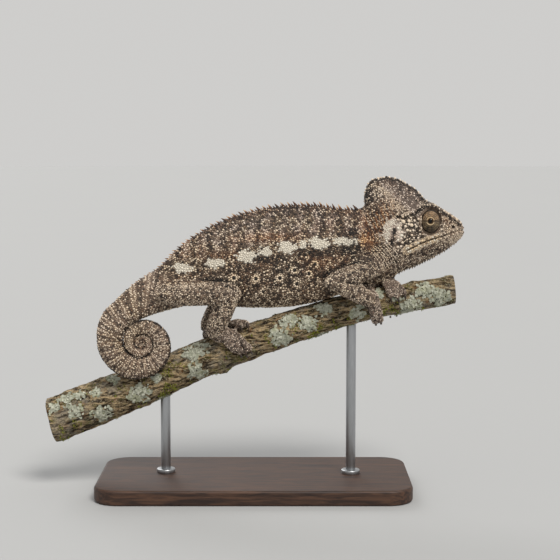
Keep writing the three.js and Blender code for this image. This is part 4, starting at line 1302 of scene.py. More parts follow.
def addBakeMap(mesh, shape, triangles, shares, region):
    # each scale is a small patch at its root's place on the layout of the skin below it
    inRegion = np.flatnonzero(region)
    layout = unwrapped(skin["corners"][inRegion])
    where = np.searchsorted(inRegion, triangles)
    middle = np.einsum("nk,nkd->nd", shares, layout[where])
    points, corners = shape
    patch = points[:, :2] / np.abs(points[:, :2]).max() * bakeMap["patch"] / 2
    flat = (middle[:, None, None, :] + patch[corners][None]).reshape(-1, 2)
    uv = mesh.uv_layers.new(name="OFBake")
    uv.data.foreach_set("uv", flat.ravel().astype(np.float32))


# The lengths of skin that have a coat piece of their own
regions = dict(face=headNodes, neck=("neck",), shoulders=("trunk_front",), flanks=("trunk_rear",))
regions.update(tail_root=("tail_root",), tail_coil=coilNodes)
regions.update({leg: (leg,) for leg in legNames})
twoSided = ("face", "shoulders", "flanks", "tail_coil")
coatShape = domeShape(6)


def regionList():
    # names and which of the skin's triangles they hold
    label = skin["labels"][skin["corners"][:, 0]]
    middle = skin["points"][skin["corners"]].mean(axis=1)
    found = []
    for name, parts in regions.items():
        inside = startsWith(label, parts)
        if name in twoSided:
            halfway = coil["y"] if name == "tail_coil" else 0
            found.append((f"{name}_right", inside & (middle[:, 1] < halfway)))
            found.append((f"{name}_left", inside & (middle[:, 1] >= halfway)))
        else:
            found.append((name, inside))
    return found


def makeCoat(material):
    triangles = table["triangle"].astype(int)
    for name, region in regionList():
        own = region[triangles]
        scales = table[own]
        wide = scales["wide"]
        sizes = np.column_stack([wide * 1.08, wide * 0.98, wide * scales["tall"]])
        shape = strewn(coatShape, roots[own], lies[own], normals[own], sizes)
        masks = {n: np.repeat(scales[n], len(coatShape[0])) for n in ("light", "stripe") + hideMasks}
        piece = pieceFrom(f"scales_{name}", shape, material, masks=masks)
        addBakeMap(piece.data, coatShape, triangles[own], shares[own], region)
        print(piece.name, own.sum(), "scales,", len(piece.data.polygons), "triangles")


skinMasks = {n: marks[n] for n in ("light",) + hideMasks}
# the stripe is weaker on the skin, which keeps the painted shade in the gaps between the scales
skinMasks["stripe"] = 0.4 * marks["stripe"]
pieceFrom("skin", (skin["points"], skin["corners"]), skinFinish(), fleshNodes, skinMasks)


# Spikes: the crest of the back, its small teeth along the tail, and the fringe under the chin.
# A row of small spikes is a line seen from the side, its middle, spacing, and heights at both ends.

spikes = dict(wide=0.27, widestGap=1.45, lean=0.4)
spikeRows = [
    dict(line=[(-84, 172.5), (-100, 164), (-112, 150), (-118, 134), (-119, 120), (-114, 108), (-104, 98),
               (-92, 93)], middle=(coil["x"], coil["z"]), spacing=2.7, tall=(1.5, 0.7)),
    dict(line=[(163, 199.5), (154.5, 192.5), (143, 185.6), (128, 178.6), (117, 175), (105, 170.5),
               (97, 166.5)], middle=(118, 212), spacing=2.3, tall=(0.9, 1.8)),
]


def crestSpikes():
    # the tips found on the CAD's back, with the places that a parting left out filled in
    tips = sorted((np.array(t) for t in skin["crest"]), key=lambda t: -t[0])
    steps = [np.linalg.norm(b - a) for a, b in zip(tips, tips[1:])]
    usual = np.median(steps)
    whole = [tips[0]]
    for step, tip in zip(steps, tips[1:]):
        extra = round(step / usual) - 1 if step > spikes["widestGap"] * usual else 0
        for i in range(extra):
            whole.append(whole[-1] + (tip - whole[-1]) * (1 / (extra - i + 1)))
        whole.append(tip)
    return whole


def spikePlaces():
    # for each spike its triangle, shares, height and lightness
    places = []
    tips = crestSpikes()
    between = [(a + b) / 2 for a, b in zip(tips, tips[1:])]
    for group, share in ((tips, 0.86), (between, 0.48)):
        for i, tip in enumerate(group):
            place, _, triangle, distance = skinTree.find_nearest(Vector(tip))
            light = 0.3 + 0.5 * (i % 3 > 0)
            places.append([triangle, *shareIn(triangle, place), distance * share, light])
    for row in spikeRows:
        line = alongLine(row["line"], row["spacing"])
        for i, (x, z) in enumerate(line):
            share = i / (len(line) - 1)
            tall = row["tall"][0] + (row["tall"][1] - row["tall"][0]) * share
            place, triangle = ontoSkin(x, z, row["middle"])
            if place is not None:
                uneven = 1 if i % 2 else 0.75
                light = 0.3 + 0.5 * (i % 3 == 0)
                places.append([triangle, *shareIn(triangle, place), tall * uneven + 0.4, light])
    return np.array(places)


def makeSpikes(material):
    shape = spikeShape(8, 3)
    places = spikePlaces()
    triangle, share, tall = places[:, 0].astype(int), places[:, 1:4], places[:, 4]

    def at(values):
        return sampled(values, triangle, share)

    normal = unit(at(skin["normals"]))
    normal[:, 1] *= 0.3
    normal = unit(normal)
    lie = layFlat(at(skin["lie"]), normal)
    normal, lie = unit(normal + spikes["lean"] * lie), unit(lie - spikes["lean"] * normal)
    wide = spikes["wide"] * tall + 0.25
    arrays = strewn(shape, at(skin["points"]), lie, normal, np.column_stack([wide, wide, tall]))
    each = len(shape[0])
    upward = np.tile(shape[0][:, 2], len(places))
    masks = {n: np.repeat(at(marks[n]), each) for n in hideMasks}
    masks["rust"] = np.clip(masks["rust"] + 0.5, 0, 1)
    masks["stripe"] = np.zeros(len(upward))
    masks["light"] = np.repeat(places[:, 5], each) * smoothstep(upward, -0.2, 0.8)
    piece = pieceFrom("spines", arrays, material, masks=masks)
    addBakeMap(piece.data, shape, triangle, share, np.ones(len(skin["corners"]), bool))
    print("spines", len(places))


# Eyes. The lids are one cone around a small opening, with the ball close behind it.

eye = dict(x=face["eye"][0], y=11, z=face["eye"][1], long=7.75, deep=8.4, tall=9.35, segments=120, rings=84)
eye.update(ahead=-0.8, up=0.6, hole=2.45, lip=0.26, pocket=2.4)
eye.update(folds=0.24, foldEvery=1.5, wrinkles=0.22, slit=0.6)
ball = dict(radius=4.2, recess=0.5, iris=2.7, pupil=1.4)


def eyeFrame(side):
    # the turret's middle, the opening's middle and the directions out of it, forwards and up
    middle = np.array([eye["x"], side * eye["y"], eye["z"]])
    flat = 1 - (eye["ahead"] / eye["long"]) ** 2 - (eye["up"] / eye["tall"]) ** 2
    mouth = middle + np.array([eye["ahead"], side * eye["deep"] * sqrt(flat), eye["up"]])
    out = unit(mouth - middle)
    forwards = unit(np.array([1, 0, 0]) - out * out[0])
    return middle, mouth, out, forwards, np.cross(forwards, out) * side


def makeLids(side, label, material):
    middle, mouth, out, forwards, up = eyeFrame(side)
    shape = bmesh.new()
    bmesh.ops.create_uvsphere(shape, u_segments=eye["segments"], v_segments=eye["rings"], radius=1)
    corners = np.array([v.co for v in shape.verts])
    polar = np.arccos(np.clip(corners[:, 2], -1, 1))
    turn = np.arctan2(corners[:, 1], corners[:, 0])
    # more rings near the opening
    polar = pi * (polar / pi) ** 1.35
    ways = np.cos(polar)[:, None] * out + np.sin(polar)[:, None] * (
        np.cos(turn)[:, None] * forwards + np.sin(turn)[:, None] * up)
    half = np.array([eye["long"], eye["deep"], eye["tall"]])
    places = middle + ways / np.linalg.norm(ways / half, axis=1, keepdims=True)
    away = np.linalg.norm((places - mouth) - np.outer((places - mouth) @ out, out), axis=1)
    front = (ways @ out) > 0
    away = np.where(front, away, 12)
    rough = cloudy(places, 1.6, 31 + side, 2)
    fold = np.cos(2 * pi * (away + 0.25 * rough) / eye["foldEvery"]) * smoothstep(away, 2.6, 3.6)
    rays = np.cos(24 * turn + 2.5 * rough) * smoothstep(away, 2.6, 4) * smoothstep(away, 8.5, 6)
    slit = bump(np.sin(turn) * away, 0.5) * smoothstep(away, 2.6, 3.2) * smoothstep(away, 7.6, 6)
    height = eye["folds"] * fold + eye["wrinkles"] * rays + 0.12 * rough - eye["slit"] * slit
    height += eye["lip"] * bump(away - eye["hole"] - 0.4, 0.42)
    inside = smoothstep(away, eye["hole"], eye["hole"] - 0.55)
    places = places + ways * (height * (1 - inside) - eye["pocket"] * inside)[:, None]
    movePoints(shape, places)
    bmesh.ops.recalc_face_normals(shape, faces=shape.faces[:])
    mesh = meshFrom(shape, f"eyelid_{label}")
    upper = smoothstep(np.sin(turn), -0.25, 0.35)
    ends = bump(np.sin(turn) * away, 0.9) * smoothstep(away, 4.8, 3.4)
    rim = bump(away - eye["hole"] - 0.45, 0.34) * (1 - ends) * (1 - 0.25 * upper)
    # the crease mask is painted shade in the slit across the lid, at the slit's ends by the opening and in
    # the valleys between the lid's folds
    masks = dict(pale=rim, upper=upper, crease=np.clip(slit + ends + 0.4 * (1 - fold) * (away > 3.4), 0, 1))
    outward = np.hypot((places[:, 0] - eye["x"]) / eye["long"], (places[:, 2] - eye["z"]) / eye["tall"])
    # the edge mask is painted shade towards the turret's outer edge, where it meets the head
    masks["edge"] = smoothstep(outward, 0.82, 0.93)
    masks["rays"] = np.clip(0.5 + 0.8 * np.cos(7 * turn + 2.2 * rough), 0, 1)
    wedges = [bump(np.sin((turn + 1.35) / 2), 0.13) * smoothstep(away, 3, 4.4)]
    wedges.append(bump(np.sin((turn + 1.95) / 2), 0.1) * smoothstep(away, 3.6, 5))
    masks["wedge"] = np.maximum(*wedges)
    pieceFrom(f"eyelid_{label}", mesh, material, (f"eye_turret_{label}",), masks)


def makeBall(side, label, material):
    _, mouth, out, forwards, up = eyeFrame(side)
    shape = bmesh.new()
    bmesh.ops.create_uvsphere(shape, u_segments=40, v_segments=40, radius=ball["radius"])
    corners = np.array([v.co for v in shape.verts])
    centre = mouth - out * (ball["recess"] + ball["radius"])
    # the clear window over the pupil bulges a little
    reach = np.hypot(corners[:, 0], corners[:, 1])
    deep = corners[:, 2] + 0.25 * bump(reach, 1.9) * (corners[:, 2] > 0)
    places = centre + corners[:, :1] * forwards + corners[:, 1:2] * up + deep[:, None] * out
    movePoints(shape, places)
    bmesh.ops.recalc_face_normals(shape, faces=shape.faces[:])
    mesh = meshFrom(shape, f"eyeball_{label}")
    seen = np.where(corners[:, 2] > 0, reach, 9)
    turn = np.arctan2(corners[:, 1], corners[:, 0])
    masks = dict(pupil=smoothstep(seen, ball["pupil"] + 0.15, ball["pupil"] - 0.1))
    masks["iris"] = smoothstep(seen, ball["iris"] + 0.2, ball["iris"] - 0.1)
    masks["rays"] = 0.5 + 0.5 * np.cos(18 * turn)
    pieceFrom(f"eye_{label}", mesh, material, (f"eyeball_{label}",), masks)


# crease and edge are colours of painted shade
lidPaints = dict(
    lower=paint(126, 110, 84), upper=paint(154, 124, 92), rays=paint(66, 50, 36), pale=paint(206, 178, 142),
    dark=paint(52, 42, 32), wedge=paint(34, 28, 22), crease=paint(48, 36, 27), edge=paint(44, 36, 29),
    rim=paint(212, 186, 146),
)
eyePaints = dict(
    brown=paint(38, 27, 18), gold=paint(86, 62, 38), outside=paint(40, 28, 20), pupil=paint(8, 7, 7),
)


def lidFinish():
    f = Finish("eyelid", Specular_IOR_Level=0.4)
    grain = f.clouds(0.45, 3)
    pale, upper, crease, edge = (f.mask(n) for n in ("pale", "upper", "crease", "edge"))
    rays, wedge = f.mask("rays"), f.mask("wedge")
    colour = f.blend(upper, lidPaints["lower"], lidPaints["upper"])
    colour = f.blend((rays * 0.7).within(), colour, lidPaints["rays"])
    colour = f.blend((grain.ramp(0.5, 0.66) * (0.35 + 0.35 * upper)).within(), colour, lidPaints["pale"])
    colour = f.blend((grain.ramp(0.45, 0.32) * 0.5).within(), colour, lidPaints["dark"])
    colour = f.blend((wedge * 0.85).within(), colour, lidPaints["wedge"])
    # painted shade in the lid's slit and folds, and towards its outer edge
    colour = f.blend((crease * 0.7).within(), colour, lidPaints["crease"])
    colour = f.blend(edge, colour, lidPaints["edge"])
    colour = f.blend((pale * 0.9).within(), colour, lidPaints["rim"])
    beads = 1 - f.cells(0.62)
    return f.give(colour, 0.58 - 0.12 * grain, beads, 0.14)


def ballFinish():
    f = Finish("eye", Roughness=0.08, Specular_IOR_Level=0.25)
    pupil, iris, rays = (f.mask(n) for n in ("pupil", "iris", "rays"))
    rayed = (rays * 0.4 + f.clouds(0.3) * 0.5).within()
    colour = f.blend(iris, eyePaints["outside"], f.blend(rayed, eyePaints["brown"], eyePaints["gold"]))
    return f.give(f.blend(pupil, colour, eyePaints["pupil"]))


# Claws: small curved horns, each along the CAD's own claw.

claw = dict(root=0.95, tip=0.14, inset=0.9, sides=12, rings=9, wornLength=3.4)
clawPaints = dict(root=paint(58, 47, 40), tip=paint(120, 104, 86), streak=paint(36, 30, 27))


def clawPath(name, flesh):
    # the ends of the CAD's claw and its middle, from the end that is nearest the toe
    shell = weldedShell(name)
    points = np.array([v.co for v in shell.verts])
    shell.free()
    centre = points.mean(axis=0)
    along = np.linalg.svd(points - centre)[2][0]
    walk = (points - centre) @ along
    ends = [points[walk < walk.min() + 0.6].mean(axis=0), points[walk > walk.max() - 0.6].mean(axis=0)]
    between = points[np.abs(walk) < 0.3 * walk.max()]
    middle = between.mean(axis=0) if len(between) > 2 else centre
    ends.sort(key=lambda p: flesh.tree.find_nearest(Vector(p))[3])
    return ends[0], middle, ends[1]


def bentTube(path, widths, sides, name):
    # a closed round tube along a path, from a cone with a ring for each place
    tube = bmesh.new()
    bmesh.ops.create_cone(tube, cap_ends=True, segments=sides, radius1=1, radius2=1, depth=1)
    upright = [e for e in tube.edges if rise(e) > 0.9]
    bmesh.ops.subdivide_edges(tube, edges=upright, cuts=len(path) - 2)
    ahead = unit(np.gradient(path, axis=0))
    out = unit(np.cross(ahead, np.array([0.31, 0.05, 0.95])))
    up = np.cross(out, ahead)
    for v in tube.verts:
        i = round((v.co.z + 0.5) * (len(path) - 1))
        v.co = path[i] + widths[i] * (v.co.x * out[i] + v.co.y * up[i])
    bmesh.ops.recalc_face_normals(tube, faces=tube.faces[:])
    return meshFrom(tube, name)


def makeClaws(material):
    names = [n for n in nodeNames if "claw" in n]
    flesh = Nearest([n for n in nodeNames if "toes" in n])
    share = np.linspace(0, 1, claw["rings"])[:, None]
    for name in names:
        root, middle, tip = clawPath(name, flesh)
        start = root - unit(middle - root) * claw["inset"]
        turn = 2 * middle - (start + tip) / 2
        path = (1 - share) ** 2 * start + 2 * share * (1 - share) * turn + share**2 * tip
        widths = claw["root"] + (claw["tip"] - claw["root"]) * share[:, 0] ** 1.3
        mesh = bentTube(path, widths, claw["sides"], name)
        fromTip = np.array([v.co for v in mesh.vertices]) - placed([tip])[0]
        worn = 1 - smoothstep(np.linalg.norm(fromTip, axis=1) / mm, 0, claw["wornLength"])
        pieceFrom(f"horn_{name}", mesh, material, (name,), dict(worn=worn))
    print("claws", len(names))


def clawFinish():
    f = Finish("claw", Specular_IOR_Level=0.5)
    streak = f.clouds(0.5, 2)
    colour = f.blend(f.mask("worn"), clawPaints["root"], clawPaints["tip"])
    colour = f.blend((streak.ramp(0.4, 0.7) * 0.4).within(), colour, clawPaints["streak"])
    return f.give(colour, 0.42 - 0.12 * streak, streak, 0.04)


coatFinish = scaleFinish()
makeCoat(coatFinish)
makeSpikes(coatFinish)
lidMaterial, ballMaterial = lidFinish(), ballFinish()
for side, label in ((-1, "right"), (1, "left")):
    makeLids(side, label, lidMaterial)
    makeBall(side, label, ballMaterial)
makeClaws(clawFinish())


# The perch: a cut branch with fissured bark, lichen and a little moss.

branch = dict(long=430, around=132, cap=5, bark=0.62, lumps=0.9, chipped=0.5)
# The branch's middle line and radius as (x, y, z, radius)
branch["line"] = [(-163.5, 7, 54, 18.2), (-123.2, 6, 70.6, 17.8), (-67.2, 4, 93.8, 15.4)]
branch["line"] += [(-35.2, 1, 108, 14.6), (-3.2, 0, 120, 14.2), (28.8, 0, 131.2, 13.4)]
branch["line"] += [(60.8, 0.6, 141.6, 12.5), (112, 0, 153.6, 11.8), (160, -1.5, 162.4, 11.4)]
branch["ends"] = (branch["line"][0][0], branch["line"][-1][0])
# Stubs of side twigs as (x, degrees round from the top, height, reach)
branch["knots"] = [(-92, 150, 2.4, 6), (-30, 168, 3.4, 5), (-132, 60, 1.6, 7), (38, 140, 2, 5)]
branch["knots"] += [(128, 30, 1.8, 4.5), (4, 60, 1.2, 6), (-60, -60, 2, 7), (70, -110, 2, 6)]
branch["knots"] += [(-110, -150, 2.4, 7), (142, 120, 1.6, 5)]


def branchAt(x):
    # the branch's middle and radius, and the directions ahead, up across it and to the right
    knots = np.array(branch["line"])
    y, z, radius = (smoothLine(knots[:, [0, k]], x) for k in (1, 2, 3))
    centre = np.stack([x, y, z], axis=-1)
    dy, dz = (smoothLine(knots[:, [0, k]], x + 1) - smoothLine(knots[:, [0, k]], x - 1) for k in (1, 2))
    ahead = unit(np.stack([np.full_like(x, 2.0), dy, dz], axis=-1))
    right = unit(np.cross(ahead, (0, 0, 1)))
    return centre, radius, ahead, np.cross(right, ahead), right


def barkHeight(x, angle, radius):
    # the bark's relief over the branch's own round surface, and how deep in a fissure a place is
    along = np.stack([x * 0.17, np.cos(angle) * radius, np.sin(angle) * radius], axis=-1)
    warped = along + 0.9 * cloudy(along, 6, 41, 2)[:, None]
    ridges = 1 - 2.4 * np.abs(cloudy(warped, 2.6, 42, 2))
    fine = cloudy(along * (2.2, 1, 1), 1.3, 43, 2)
    lumps = cloudy(np.stack([x, along[:, 1], along[:, 2]], axis=-1), 16, 44, 2)
    height = branch["bark"] * ridges + 0.22 * fine + branch["lumps"] * lumps - 0.55
    for at, degrees, tall, reach in branch["knots"]:
        turned = (angle - radians(degrees) + pi) % (2 * pi) - pi
        away = np.hypot(x - at, turned * radius)
        height += tall * bump(away, reach) - 0.45 * tall * bump(away, reach * 0.3)
        height += 0.3 * np.cos(away * 2.2) * bump(away, reach * 1.3)
    return height, smoothstep(-ridges, -0.1, 0.7)


def makeBranch(material):
    shape = bmesh.new()
    columns, sides, cap = branch["long"], branch["around"], branch["cap"]
    bmesh.ops.create_grid(shape, x_segments=columns, y_segments=sides, size=1)
    corners = np.array([v.co for v in shape.verts])
    column = np.round((corners[:, 0] + 1) / 2 * columns)
    angle = np.round((corners[:, 1] + 1) / 2 * sides) / sides * 2 * pi
    inner = np.clip(np.minimum(column, columns - column) / cap, 0, 1)
    first, last = branch["ends"]
    x = first + (last - first) * np.clip((column - cap) / (columns - 2 * cap), 0, 1)
    centre, radius, ahead, up, right = branchAt(x)
    height, fissure = barkHeight(x, angle % (2 * pi), radius)
    edge = np.clip(np.minimum(x - first, last - x) / 1.5, 0, 1)
    reach = (radius + height * (0.35 + 0.65 * edge) - branch["chipped"] * (1 - edge)) * inner
    places = centre + reach[:, None] * (np.cos(angle)[:, None] * up + np.sin(angle)[:, None] * right)
    # the saw left the cut ends a little rough
    onEnd = inner < 1
    places += ahead * (onEnd * 0.12 * cloudy(places, 1.4, 45, 1))[:, None]
    movePoints(shape, places)
    # the fissure mask carries painted shade deep in the bark's fissures
    masks = dict(fissure=fissure, wood=onEnd * 1.0, under=smoothstep(-np.cos(angle), 0.1, 0.95))
    for name, values in masks.items():
        layer = shape.verts.layers.float.new(name)
        for v, value in zip(shape.verts, values):
            v[layer] = value
    bmesh.ops.remove_doubles(shape, verts=shape.verts, dist=0.002)
    bmesh.ops.recalc_face_normals(shape, faces=shape.faces[:])
    pieceFrom("branch", meshFrom(shape, "branch"), material, ("perch_branch",))


# fissure is the colour of painted shade deep in the bark's fissures
barkPaints = dict(
    dark=paint(58, 45, 31), light=paint(200, 174, 134), patch=paint(168, 158, 142), rust=paint(142, 90, 48),
    algae=paint(124, 126, 62), speck=paint(214, 202, 170), pore=paint(44, 34, 24), fissure=paint(32, 24, 18),
    crack=paint(30, 23, 17),
)
sawnPaints = dict(
    light=paint(206, 178, 136), ring=paint(158, 122, 82), heart=paint(120, 84, 54), stain=paint(112, 92, 70),
)


def barkFinish():
    f = Finish("bark", Specular_IOR_Level=0.25)
    lengthways = f.scaled(0.22, 1, 1)
    streaks = f.clouds(2.2, 5, 0.65, lengthways, 0.4)
    patches = f.clouds(17, 3)
    algae = f.clouds(8, 4, 0.6)
    speckle = f.clouds(1.5, 5, 0.7)
    # bark plates, longer than wide, with dark cracks between them
    drift = f.node("ShaderNodeTexNoise", {"Vector": f.where, "Scale": 1 / (3 * mm), "Detail": 2.0}, output=1)
    moved = {0: f.scaled(0.4, 1, 1), 1: drift, 2: (0.003, 0.003, 0.003)}
    shifted = f.node("ShaderNodeVectorMath", moved, operation="MULTIPLY_ADD")
    crack = 1 - f.cells(3.4, shifted, "DISTANCE_TO_EDGE").ramp(0.0, 0.14)
    fissure, wood, under = f.mask("fissure"), f.mask("wood"), f.mask("under")
    colour = f.blend(streaks.ramp(0.4, 0.6), barkPaints["dark"], barkPaints["light"])
    layers = (
        ("patch", patches.ramp(0.5, 0.66) * 0.65),
        ("rust", f.clouds(6, 3).ramp(0.56, 0.7) * 0.55),
        ("algae", algae.ramp(0.5, 0.68) * (under * 0.55 + 0.3)),
        ("speck", speckle.ramp(0.53, 0.62) * 0.65),
        ("pore", speckle.ramp(0.44, 0.34) * 0.5),
        # painted shade deep in the fissures
        ("fissure", fissure * 0.9),
        ("crack", crack * streaks.ramp(0.7, 0.4) * 0.85),
    )
    for name, share in layers:
        colour = f.blend(share.within(), colour, barkPaints[name])
    # the sawn ends show rings around the heart
    hearts = placed([branchAt(np.array([x]))[0][0] for x in branch["ends"]])
    rear, front = (f.node("ShaderNodeVectorMath", {0: f.where, 1: tuple(heart)}, 1, operation="DISTANCE")
                   for heart in hearts)
    nearest = rear.sum("MINIMUM", rear, front) * 1000 + f.clouds(5, 2) * 1.6
    ringed = nearest.sum("SINE", nearest * 5.2) * 0.5 + 0.5
    sawn = f.blend((ringed * 0.7).within(), sawnPaints["light"], sawnPaints["ring"])
    sawn = f.blend(nearest.ramp(3.2, 1.0) * 0.6, sawn, sawnPaints["heart"])
    sawn = f.blend((f.clouds(1.2, 3).ramp(0.55, 0.7) * 0.35).within(), sawn, sawnPaints["stain"])
    colour = f.blend(wood, colour, sawn)
    return f.give(colour, 0.9 - 0.12 * streaks, streaks + speckle * 0.7 - crack * 0.5, 0.5)


# Lichen as (x, z, radius) on the near side, and (x, degrees, radius) elsewhere
lichen = dict(seed=5, spacing=0.78, lobe=1.15, ragged=0.55)
lichen["near"] = [(-158, 66, 6), (-146, 73.7, 8), (-141.3, 64.8, 7), (-134.1, 77.5, 6), (-123.1, 79.5, 5),
                  (-124.7, 62.4, 8.5), (-107.3, 90.3, 6), (-93, 79, 10.5), (-74.9, 92.7, 5),
                  (-47.2, 96.6, 9), (-41.7, 114.5, 11), (20, 125.9, 9.5), (29.5, 138.6, 7),
                  (43.7, 135.6, 8.5), (57.2, 147.5, 8), (82.5, 144.1, 7), (113, 158, 6), (124, 150, 9),
                  (136, 163, 8), (147, 156, 9), (102, 160, 5)]
lichen["far"] = [(-140, -60, 10), (-100, -100, 8), (-60, -45, 7), (-20, -110, 9), (20, -60, 8), (66, -90, 9),
                 (110, -50, 7), (135, -120, 9), (-80, 175, 8), (50, 178, 7), (118, 170, 6)]
moss = dict(seed=8, count=1500, tall=1.5, wide=0.42)


def onBark(x, angle, lift=0.0):
    # places on the bark and the direction out of it
    centre, radius, _, up, right = branchAt(x)
    out = np.cos(angle)[:, None] * up + np.sin(angle)[:, None] * right
    height = barkHeight(x, angle % (2 * pi), radius)[0]
    return centre + out * (radius + height + lift)[:, None], out


def nearAngle(x, z):
    # how far round from the top a place is that is seen from the right side
    centre, radius, _, up, _ = branchAt(np.array([float(x)]))
    return float(np.arccos(np.clip((z - centre[0, 2]) / radius[0] / up[0, 2], -0.97, 0.97)))


def lobeShape():
    # a thin leaf-like lobe with a wavy, slightly raised edge
    lobe = bmesh.new()
    bmesh.ops.create_cone(lobe, cap_ends=True, segments=9, radius1=0.86, radius2=1, depth=1)
    for v in lobe.verts:
        turn = atan2(v.co.y, v.co.x)
        wave = 1 + 0.22 * sin(3 * turn + 0.5)
        high = 0.5 * (v.co.z > 0) + 0.28 * sin(2 * turn + 1)
        v.co = (v.co.x * wave, v.co.y * wave, high - 0.1)
    return template(lobe)


def makeLichen(material):
    rng = np.random.default_rng(lichen["seed"])
    patches = [(x, nearAngle(x, z), r) for x, z, r in lichen["near"]]
    patches += [(x, radians(d), r) for x, d, r in lichen["far"]]
    first, last = branch["ends"][0] + 3, branch["ends"][1] - 3
    xs, angles, fills = [], [], []
    for x, angle, size in patches:
        count = int(2.2 * (size / lichen["spacing"]) ** 2)
        reach, turn = size * np.sqrt(rng.random(count)), rng.uniform(0, 2 * pi, count)
        dx, dy = reach * np.cos(turn), reach * np.sin(turn)
        radius = branchAt(np.array([float(x)]))[1][0]
        spots = np.stack([x + dx, dy, np.full(count, angle * 10)], axis=1)
        ragged = cloudy(spots, 3.4, 51, 2) * lichen["ragged"]
        keep = (reach / size + ragged * 1.3 < 0.72) & (x + dx > first) & (x + dx < last)
        xs.append((x + dx)[keep])
        angles.append((angle + dy / radius)[keep])
        fills.append((reach / size)[keep])
    x, angle, fringe = (np.concatenate(values) for values in (xs, angles, fills))
    places, out = onBark(x, angle, 0.25 + 0.5 * rng.random(len(x)) * (1 - fringe))
    tilt = unit(out + 0.28 * rng.normal(size=out.shape))
    lie = unit(np.cross(tilt, rng.normal(size=out.shape)))
    size = lichen["lobe"] * rng.uniform(0.6, 1.35, len(x))
    lobe = lobeShape()
    arrays = strewn(lobe, places, lie, tilt, np.column_stack([size, size * 0.8, 0.55 * size]))
    masks = dict(tone=np.repeat(rng.random(len(x)), len(lobe[0])), fringe=np.repeat(fringe, len(lobe[0])))
    pieceFrom("lichen", arrays, material, masks=masks, smooth=False)
    print("lichen lobes", len(x))


def makeMoss(material):
    rng = np.random.default_rng(moss["seed"])
    first, last = branch["ends"][0] + 2, branch["ends"][1] - 2
    x = rng.uniform(first, last, 9 * moss["count"])
    angle = rng.normal(radians(150), radians(62), len(x))
    clump = cloudy(np.stack([x, 12 * np.cos(angle), 12 * np.sin(angle)], axis=1), 10, 61, 2)
    x, angle = (values[clump > 0.34][: moss["count"]] for values in (x, angle))
    places, out = onBark(x, angle)
    tilt = unit(out + 0.5 * rng.normal(size=out.shape))
    lie = unit(np.cross(tilt, rng.normal(size=out.shape)))
    tall = moss["tall"] * rng.uniform(0.5, 1.2, len(x))
    wide = moss["wide"] * rng.uniform(0.8, 1.4, len(x))
    arrays = strewn(spikeShape(5, 0), places, lie, tilt, np.column_stack([wide, wide, tall]))
    masks = dict(tone=np.repeat(rng.random(len(x)), len(arrays[0]) // len(x)))
    pieceFrom("moss", arrays, material, masks=masks, smooth=False)
    print("moss tufts", len(x))


lichenPaints = dict(
    dark=paint(136, 138, 120), light=paint(208, 208, 192), yellow=paint(172, 172, 132),
    fringe=paint(120, 126, 108),
)
mossPaints = dict(dark=paint(74, 82, 26), light=paint(150, 152, 62))


def lichenFinish():
    f = Finish("lichen", Specular_IOR_Level=0.15)
    tone, fringe, grain = f.mask("tone"), f.mask("fringe"), f.clouds(0.8, 3)
    colour = f.blend((tone * 0.7 + grain * 0.3).within(), lichenPaints["dark"], lichenPaints["light"])
    colour = f.blend((f.clouds(7, 2).ramp(0.5, 0.7) * 0.4).within(), colour, lichenPaints["yellow"])
    colour = f.blend((fringe * 0.25).within(), colour, lichenPaints["fringe"])
    return f.give(colour, 0.93 - 0.06 * grain, grain, 0.12)


def mossFinish():
    f = Finish("moss", Specular_IOR_Level=0.15)
    tone, grain = f.mask("tone"), f.clouds(1.5, 2)
    colour = f.blend((tone * 0.6 + grain * 0.4).within(), mossPaints["dark"], mossPaints["light"])
    return f.give(colour, 0.92 - 0.05 * grain)


makeBranch(barkFinish())
makeLichen(lichenFinish())
makeMoss(mossFinish())


# The stand: a dark stained board, and two steel rods with collars.

board = dict(corner=20, cornerSegments=14, rim=2, rimSegments=4)
rod = dict(radius=3.9, edge=0.4, collar=7.5, collarTall=3.2, collarEdge=0.8, sunk=0.3, intoBranch=0.6)


def soften(shape, edges, width, segments):
    bmesh.ops.bevel(shape, geom=edges, offset=width, offset_type="OFFSET", segments=segments, profile=0.5,
                    affect="EDGES", material=-1)


def makeBoard(material):
    low, high = nodeBox("stand_base")
    shape = bmesh.new()
    bmesh.ops.create_cube(shape, size=1)
    for v in shape.verts:
        v.co = Vector((low + high) / 2) + Vector(np.array(v.co) * (high - low))
    soften(shape, [e for e in shape.edges if rise(e) > 1], board["corner"], board["cornerSegments"])
    rims = [e for e in shape.edges if rise(e) < 0.01 and any(abs(f.normal.z) > 0.9 for f in e.link_faces)]
    soften(shape, rims, board["rim"], board["rimSegments"])
    pieceFrom("board", meshFrom(shape, "board"), material, ("stand_base",), smooth=False)


def makeRod(name, material):
    low, high = nodeBox(name)
    x, y = (low[:2] + high[:2]) / 2
    centre, radius = branchAt(np.array([x]))[:2]
    onBoard = round(boardHigh.z / mm, 3)
    bottom = onBoard - rod["sunk"]
    inBranch = centre[0, 2] - radius[0] * rod["intoBranch"]
    shape = bmesh.new()
    for top, size, edge in ((inBranch, rod["radius"], rod["edge"]),
                            (onBoard + rod["collarTall"], rod["collar"], rod["collarEdge"])):
        part = bmesh.ops.create_cone(shape, cap_ends=True, segments=48, radius1=size, radius2=size,
                                     depth=top - bottom)
        for v in part["verts"]:
            v.co += Vector((x, y, (top + bottom) / 2))
        rims = {e for v in part["verts"] for e in v.link_edges if rise(e) < 0.01}
        soften(shape, list(rims), edge, 3)
    pieceFrom(name.replace("stand_", ""), meshFrom(shape, name), material, (name,))


boardPaints = dict(dark=paint(44, 31, 26), light=paint(84, 60, 46), pore=paint(26, 19, 16))
steelPaints = dict(dark=paint(148, 150, 153), light=paint(188, 190, 192))


